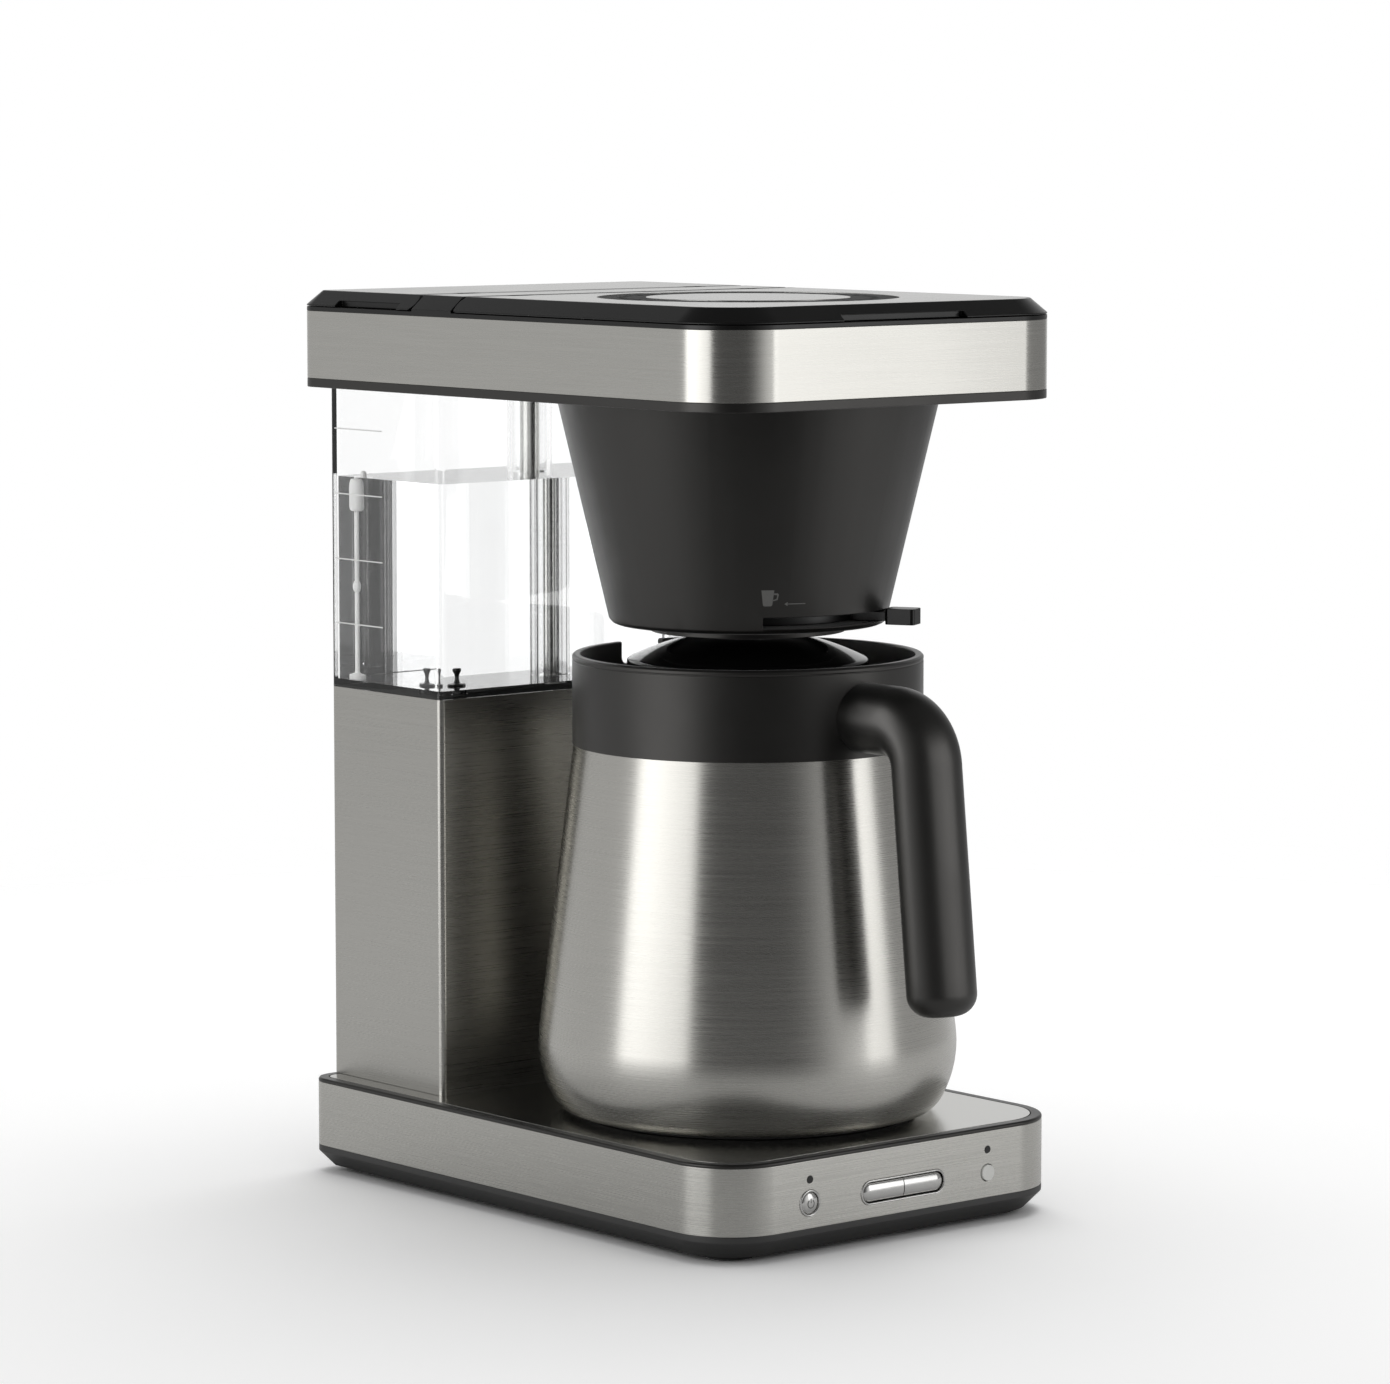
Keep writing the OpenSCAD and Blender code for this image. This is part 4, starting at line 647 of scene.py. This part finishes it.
def tank_water():
    """Clear water up to its level, a hair into the tank's walls so that no air gap shows."""
    lap = 0.1
    floor = low("water_tank").z / MM + TANK_FLOOR - lap
    plan = tank_plan(TANK_WALL - lap, TANK_CORNER - 0.2, floor)
    loops = [plan, [(x, y, WATER_TOP) for x, y, _ in plan], shroud_ring(plan, SHROUD_R - lap, WATER_TOP),
             shroud_ring(plan, SHROUD_R - lap, floor)]
    make_piece("tank_water", closed_body(loops), "machine", "water")


def tank_outlet():
    """The outlet's seat in the floor with its slim valve stem."""
    x, y = middle("tank_outlet").x, middle("tank_outlet").y
    foot = low("tank_outlet").z / MM
    floor = foot + TANK_FLOOR
    stem = [(0, foot), (3.2, foot), (3.2, floor), (3.9, floor), (4.0, floor + 0.3), (3.8, floor + 0.8)]
    stem += [(1.5, floor + 1.1), (1.1, floor + 2), (0.9, floor + 3.4), (1.2, floor + 4.8), (1.9, floor + 5.9)]
    stem += [(1.9, floor + 6.6), (1.6, floor + 7), (0, floor + 7)]
    piece = make_piece("tank_outlet_finish", lathe(stem, x, y, 40), "machine", "lid_black")
    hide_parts("tank_outlet")


def tank_float():
    """The level float, a thin sleeve with round ends, and the rod that it rides on with its stop bead."""
    x, y = middle("float_guide").x, middle("float_guide").y
    base, top = low("level_float").z / MM, high("level_float").z / MM
    sleeve = [(2.5, base + 0.5), (3.0, base), (3.6, base + 0.5), (3.9, base + 1.6)]
    sleeve += [(3.9, top - 3.4), (3.7, top - 1.8), (3.2, top - 0.6), (2.9, top - 0.2), (2.5, top - 0.4)]
    shape = lathe(sleeve, x, y, 48)
    # the float and its rod take the white with painted light in it
    piece = make_piece("level_float_finish", shape, "float", "float_white_painted_light", 50)
    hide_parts("level_float")
    foot, tip = low("float_guide").z / MM, high("float_guide").z / MM
    turns = [math.radians(a) for a in range(-60, 61, 12)]
    bead = [(BEAD_R * math.cos(a), BEAD_Z + BEAD_H * math.sin(a)) for a in turns]
    rod = [(0, foot), (4.4, foot), (4.5, foot + 0.3), (4.4, foot + 1.6), (1.6, foot + 2.4)]
    rod += [(ROD_R, foot + 3.2)]
    rod += [(ROD_R, bead[0][1] - 0.6)] + bead + [(ROD_R, bead[-1][1] + 0.6)]
    rod += [(ROD_R, tip - 1.0), (0.8, tip - 0.2), (0, tip)]
    shape = lathe(rod, x, y, 48)
    piece = make_piece("float_guide_finish", shape, "machine", "float_white_painted_light", 50)
    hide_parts("float_guide")


# ---- printed marks (mm) ----


def decal(name, outlines, place, body, material, thickness=0.06 * MM):
    """Thin printed shapes: outlines hold (across, up), and place turns (across, up, out) into a point."""
    shape = bmesh.new()
    for outline in outlines:
        loops = [[shape.verts.new(place(u, v, t)) for u, v in outline] for t in (-thickness, thickness)]
        bridge_loops(shape, loops)
        for loop in loops:
            shape.faces.new(loop)
    make_piece(name, shape, body, material)


def bar(u0, v0, u1, v1):
    """A rectangle's outline."""
    return [(u0, v0), (u1, v0), (u1, v1), (u0, v1)]


def fill_marks():
    """White fill lines on the tank's left face, placed from its back."""
    left, back = low("water_tank").x, high("water_tank").y
    outlines = [bar(-MARK_TO, z - MARK_T / 2, -MARK_FROM, z + MARK_T / 2) for z in MARK_LEVELS]

    def place(u, v, t):
        return Vector((left - t, back + u * MM, v * MM))

    decal("fill_marks", outlines, place, "machine", "print_white", 0.03 * MM)


CONE_FOOT_R = 53.5
CONE_TOP_R = 74.2
CONE_TOP_Z = 317.6
PRINT_LIFT = 0.05


def cone_marks():
    """The mug and the arrow printed low on the basket's front; their outlines hold (azimuth, height)."""
    foot = low("brew_basket").z / MM
    slope = (CONE_TOP_R - CONE_FOOT_R) / (CONE_TOP_Z - foot)

    def place(azimuth, z, t):
        angle = math.radians(azimuth)
        r = (CONE_FOOT_R + slope * (z - foot) + PRINT_LIFT) * MM + t
        return Vector((r * math.cos(angle), BREW_Y + r * math.sin(angle), z * MM))

    mug = [(-125.6, 247.4), (-124.9, 241.6), (-124.4, 241.2)]
    mug += [(-121.8, 241.2), (-121.3, 241.6), (-120.7, 247.4)]
    handle = [(-120.75, 246.2), (-119.2, 246.2), (-118.9, 245.6), (-119.3, 243.6), (-121.0, 243.2)]
    handle += [(-120.95, 243.7), (-119.7, 244.0), (-119.5, 245.5), (-120.8, 245.6)]
    head = [(-116.6, 242.0), (-115.2, 242.8), (-115.2, 241.2)]
    shaft = [(a, 241.8) for a in range(-115, -107)] + [(a, 242.2) for a in range(-108, -116, -1)]
    decal("cone_marks", [mug, handle, head, shaft], place, "machine", "print_grey")


# ---- pieces ----


def dress_nodes():
    """Gives each CAD node that stays in view its slot's material."""
    for node, slot in slot_of.items():
        for row in cad[node].material_slots:
            row.material = materials[slot]


def dress_pieces():
    """Rounds the sharp edges of the pieces that show, by a width in mm."""
    # the skirt gets the black with the floor's painted reflection
    dressed("base_tray", 0.3, "skirt_black_painted_reflection")
    for node in ("base_deck", "head_tray", "brew_basket", "column_shelf", "column_cover", "cord_gland"):
        dressed(node, 0.3)
    for node in ("base_band", "head_band", "carafe_collar", "basket_base", "clean_button"):
        dressed(node, 0.2)
    dressed("base_plate", 0.15, "base_steel")
    for node in ("bridge_plate", "tank_lid_plate", "brew_lid_plate", "brew_lid_disc"):
        dressed(node, 0.15)
    for node in ("head_rim", "tank_lid_frame", "brew_lid_frame", "drip_lever"):
        dressed(node, 0.25, "lid_black")
    dressed("brew_lid_ring", 0.15, "vent_black")
    dressed("column_shell", 0.2, "column_steel")
    dressed("power_led", 0.1)
    dressed("clean_led", 0.1)


# ---- light and ground ----

AIM_Z = 0.18


def softbox(name, azimuth, distance, height, size, watts, keep_off=(), only=()):
    """A soft light at an azimuth round the object, turned to it; it can skip pieces, or light only some."""
    data = bpy.data.lights.new(name, "AREA")
    data.shape = "RECTANGLE"
    data.size, data.size_y = size
    data.energy = watts
    light = bpy.data.objects.new(name, data)
    angle = math.radians(azimuth)
    light.location = (distance * math.cos(angle), distance * math.sin(angle), height)
    aim = Vector((0, 0, AIM_Z)) - light.location
    light.rotation_mode = "QUATERNION"
    light.rotation_quaternion = aim.to_track_quat("-Z", "Y")
    light.visible_camera = False
    bpy.context.scene.collection.objects.link(light)
    if keep_off or only:
        lit = bpy.data.collections.new(name + "_link")
        for piece in keep_off or only:
            lit.objects.link(bpy.data.objects[piece])
        for row in lit.collection_objects:
            row.light_linking.link_state = "EXCLUDE" if keep_off else "INCLUDE"
        light.light_linking.receiver_collection = lit
    return light


# regions of the backdrop: azimuth, half width at the edge and in the middle, level outside and inside
DARK_LOBES = ((228, 72, 22, 1, 0.1), (345, 55, 28, 1, 0.3), (112, 45, 33, 1, 0.6))
THROUGH_LOBE = (50, 80, 60, 0.72, 1.12)
LIGHT_LEVEL = 0.56


def add_world():
    """A white backdrop: full to the camera, softer as light, with dark regions that only reflections show."""
    world = bpy.data.worlds.new("studio")
    bpy.context.scene.world = world
    world.use_nodes = True
    nodes = Nodes(world.node_tree)
    rays = nodes.add("ShaderNodeLightPath").outputs
    direction = nodes.add("ShaderNodeTexCoord").outputs["Generated"]

    def lobe(azimuth, wide, narrow, outside, inside):
        start, end = math.cos(math.radians(wide)), math.cos(math.radians(narrow))
        return nodes.between(nodes.towards(direction, azimuth), outside, inside, start, end, "SMOOTHSTEP")

    split = nodes.add("ShaderNodeSeparateXYZ")
    nodes.join(direction, split.inputs[0])
    mirrored = nodes.between(split.outputs["Z"], 0.85, 0.1, 0.3, 0.75, "SMOOTHSTEP")
    for row in DARK_LOBES:
        mirrored = nodes.math("MULTIPLY", mirrored, lobe(*row))
    mirrored = nodes.math("MULTIPLY", rays["Is Glossy Ray"], mirrored)
    other = nodes.math("MULTIPLY", nodes.math("SUBTRACT", 1.0, rays["Is Glossy Ray"]), LIGHT_LEVEL)
    level = nodes.math("ADD", mirrored, other)
    through = nodes.math("MINIMUM", rays["Transmission Depth"], 1.0)
    level = nodes.math("MAXIMUM", level, nodes.math("MULTIPLY", through, lobe(*THROUGH_LOBE)))
    strength = nodes.math("MAXIMUM", level, rays["Is Camera Ray"])
    background = nodes.tree.nodes["Background"]
    nodes.join(strength, background.inputs["Strength"])
    background.inputs["Color"].default_value = (1, 1, 1, 1)


FLOOR_R = 1.2
FLOOR_TONE = 1.1
MIRRORED_TONE = 0.6
FRONT_AZIMUTH = 232


def floor_material():
    """White to the camera, clear far out, and greyer as light, most of all far off in front of the object."""
    material = bpy.data.materials.new("floor")
    material.use_nodes = True
    nodes = Nodes(material.node_tree)
    nodes.tree.nodes.remove(nodes.tree.nodes["Principled BSDF"])
    rays = nodes.add("ShaderNodeLightPath").outputs
    seen = nodes.math("MAXIMUM", rays["Is Camera Ray"], rays["Is Transmission Ray"])
    place = nodes.add("ShaderNodeTexCoord").outputs["Object"]
    way = nodes.add("ShaderNodeVectorMath", operation="NORMALIZE")
    nodes.join(place, way.inputs[0])
    reach = nodes.add("ShaderNodeVectorMath", operation="LENGTH")
    nodes.join(place, reach.inputs[0])
    distance = reach.outputs["Value"]
    in_front = nodes.towards(way.outputs["Vector"], FRONT_AZIMUTH)
    mirrored = nodes.add("ShaderNodeMix")
    nodes.join(nodes.between(distance, 0, 1, 0.35, 0.6), mirrored.inputs["Factor"])
    mirrored.inputs["A"].default_value = MIRRORED_TONE
    nodes.join(nodes.between(in_front, 0.7, 0.04, 0.6, 0.97, "SMOOTHSTEP"), mirrored.inputs["B"])
    tone = nodes.add("ShaderNodeMix", data_type="RGBA")
    nodes.join(seen, tone.inputs["Factor"])
    nodes.join(mirrored.outputs["Result"], tone.inputs["A"])
    tone.inputs["B"].default_value = (FLOOR_TONE, FLOOR_TONE, FLOOR_TONE, 1)
    matte = nodes.add("ShaderNodeBsdfDiffuse")
    nodes.join(tone.outputs["Result"], matte.inputs["Color"])
    far = nodes.between(distance, 0, 1, 0.55, 1.1, "SMOOTHSTEP")
    fade = nodes.add("ShaderNodeMixShader")
    nodes.join(nodes.math("MULTIPLY", far, seen), fade.inputs["Fac"])
    nodes.join(matte.outputs["BSDF"], fade.inputs[1])
    nodes.join(nodes.add("ShaderNodeBsdfTransparent").outputs["BSDF"], fade.inputs[2])
    nodes.join(fade.outputs["Shader"], nodes.tree.nodes["Material Output"].inputs["Surface"])
    return material


def add_ground():
    """A white floor that keeps the object's shadow and fades into the white background."""
    mesh = bpy.data.meshes.new("floor")
    floor = bpy.data.objects.new("floor", mesh)
    shape = bmesh.new()
    bmesh.ops.create_circle(shape, cap_ends=True, radius=FLOOR_R, segments=96)
    shape.to_mesh(mesh)
    shape.free()
    bpy.context.scene.collection.objects.link(floor)
    mesh.materials.append(floor_material())


def add_lights():
    """Two tall softboxes at the sides, one overhead, and two lights for the carafe's handle alone."""
    softbox("left_softbox", 178, 1.3, 0.35, (1.02, 1.3), 5.9, keep_off=("floor", GRIP))
    softbox("right_softbox", 305, 1.5, 0.35, (0.5, 1.3), 2.7, keep_off=("floor",))
    softbox("grip_left_light", 144, 1.3, 0.5, (0.45, 1.3), 5.6, only=(GRIP,))
    softbox("grip_right_light", 268, 1.3, 0.35, (1.2, 1.3), 7, only=(GRIP,))
    softbox("top_softbox", 40, 0.55, 1.6, (1.5, 1.5), 14).visible_glossy = False


add_camera()
dress_nodes()
dress_pieces()
carafe_shell()
carafe_handle()
carafe_lid()
controls()
water_tank()
tank_water()
tank_outlet()
tank_float()
fill_marks()
cone_marks()
add_world()
add_ground()
add_lights()
bpy.context.scene.view_settings.view_transform = "Standard"
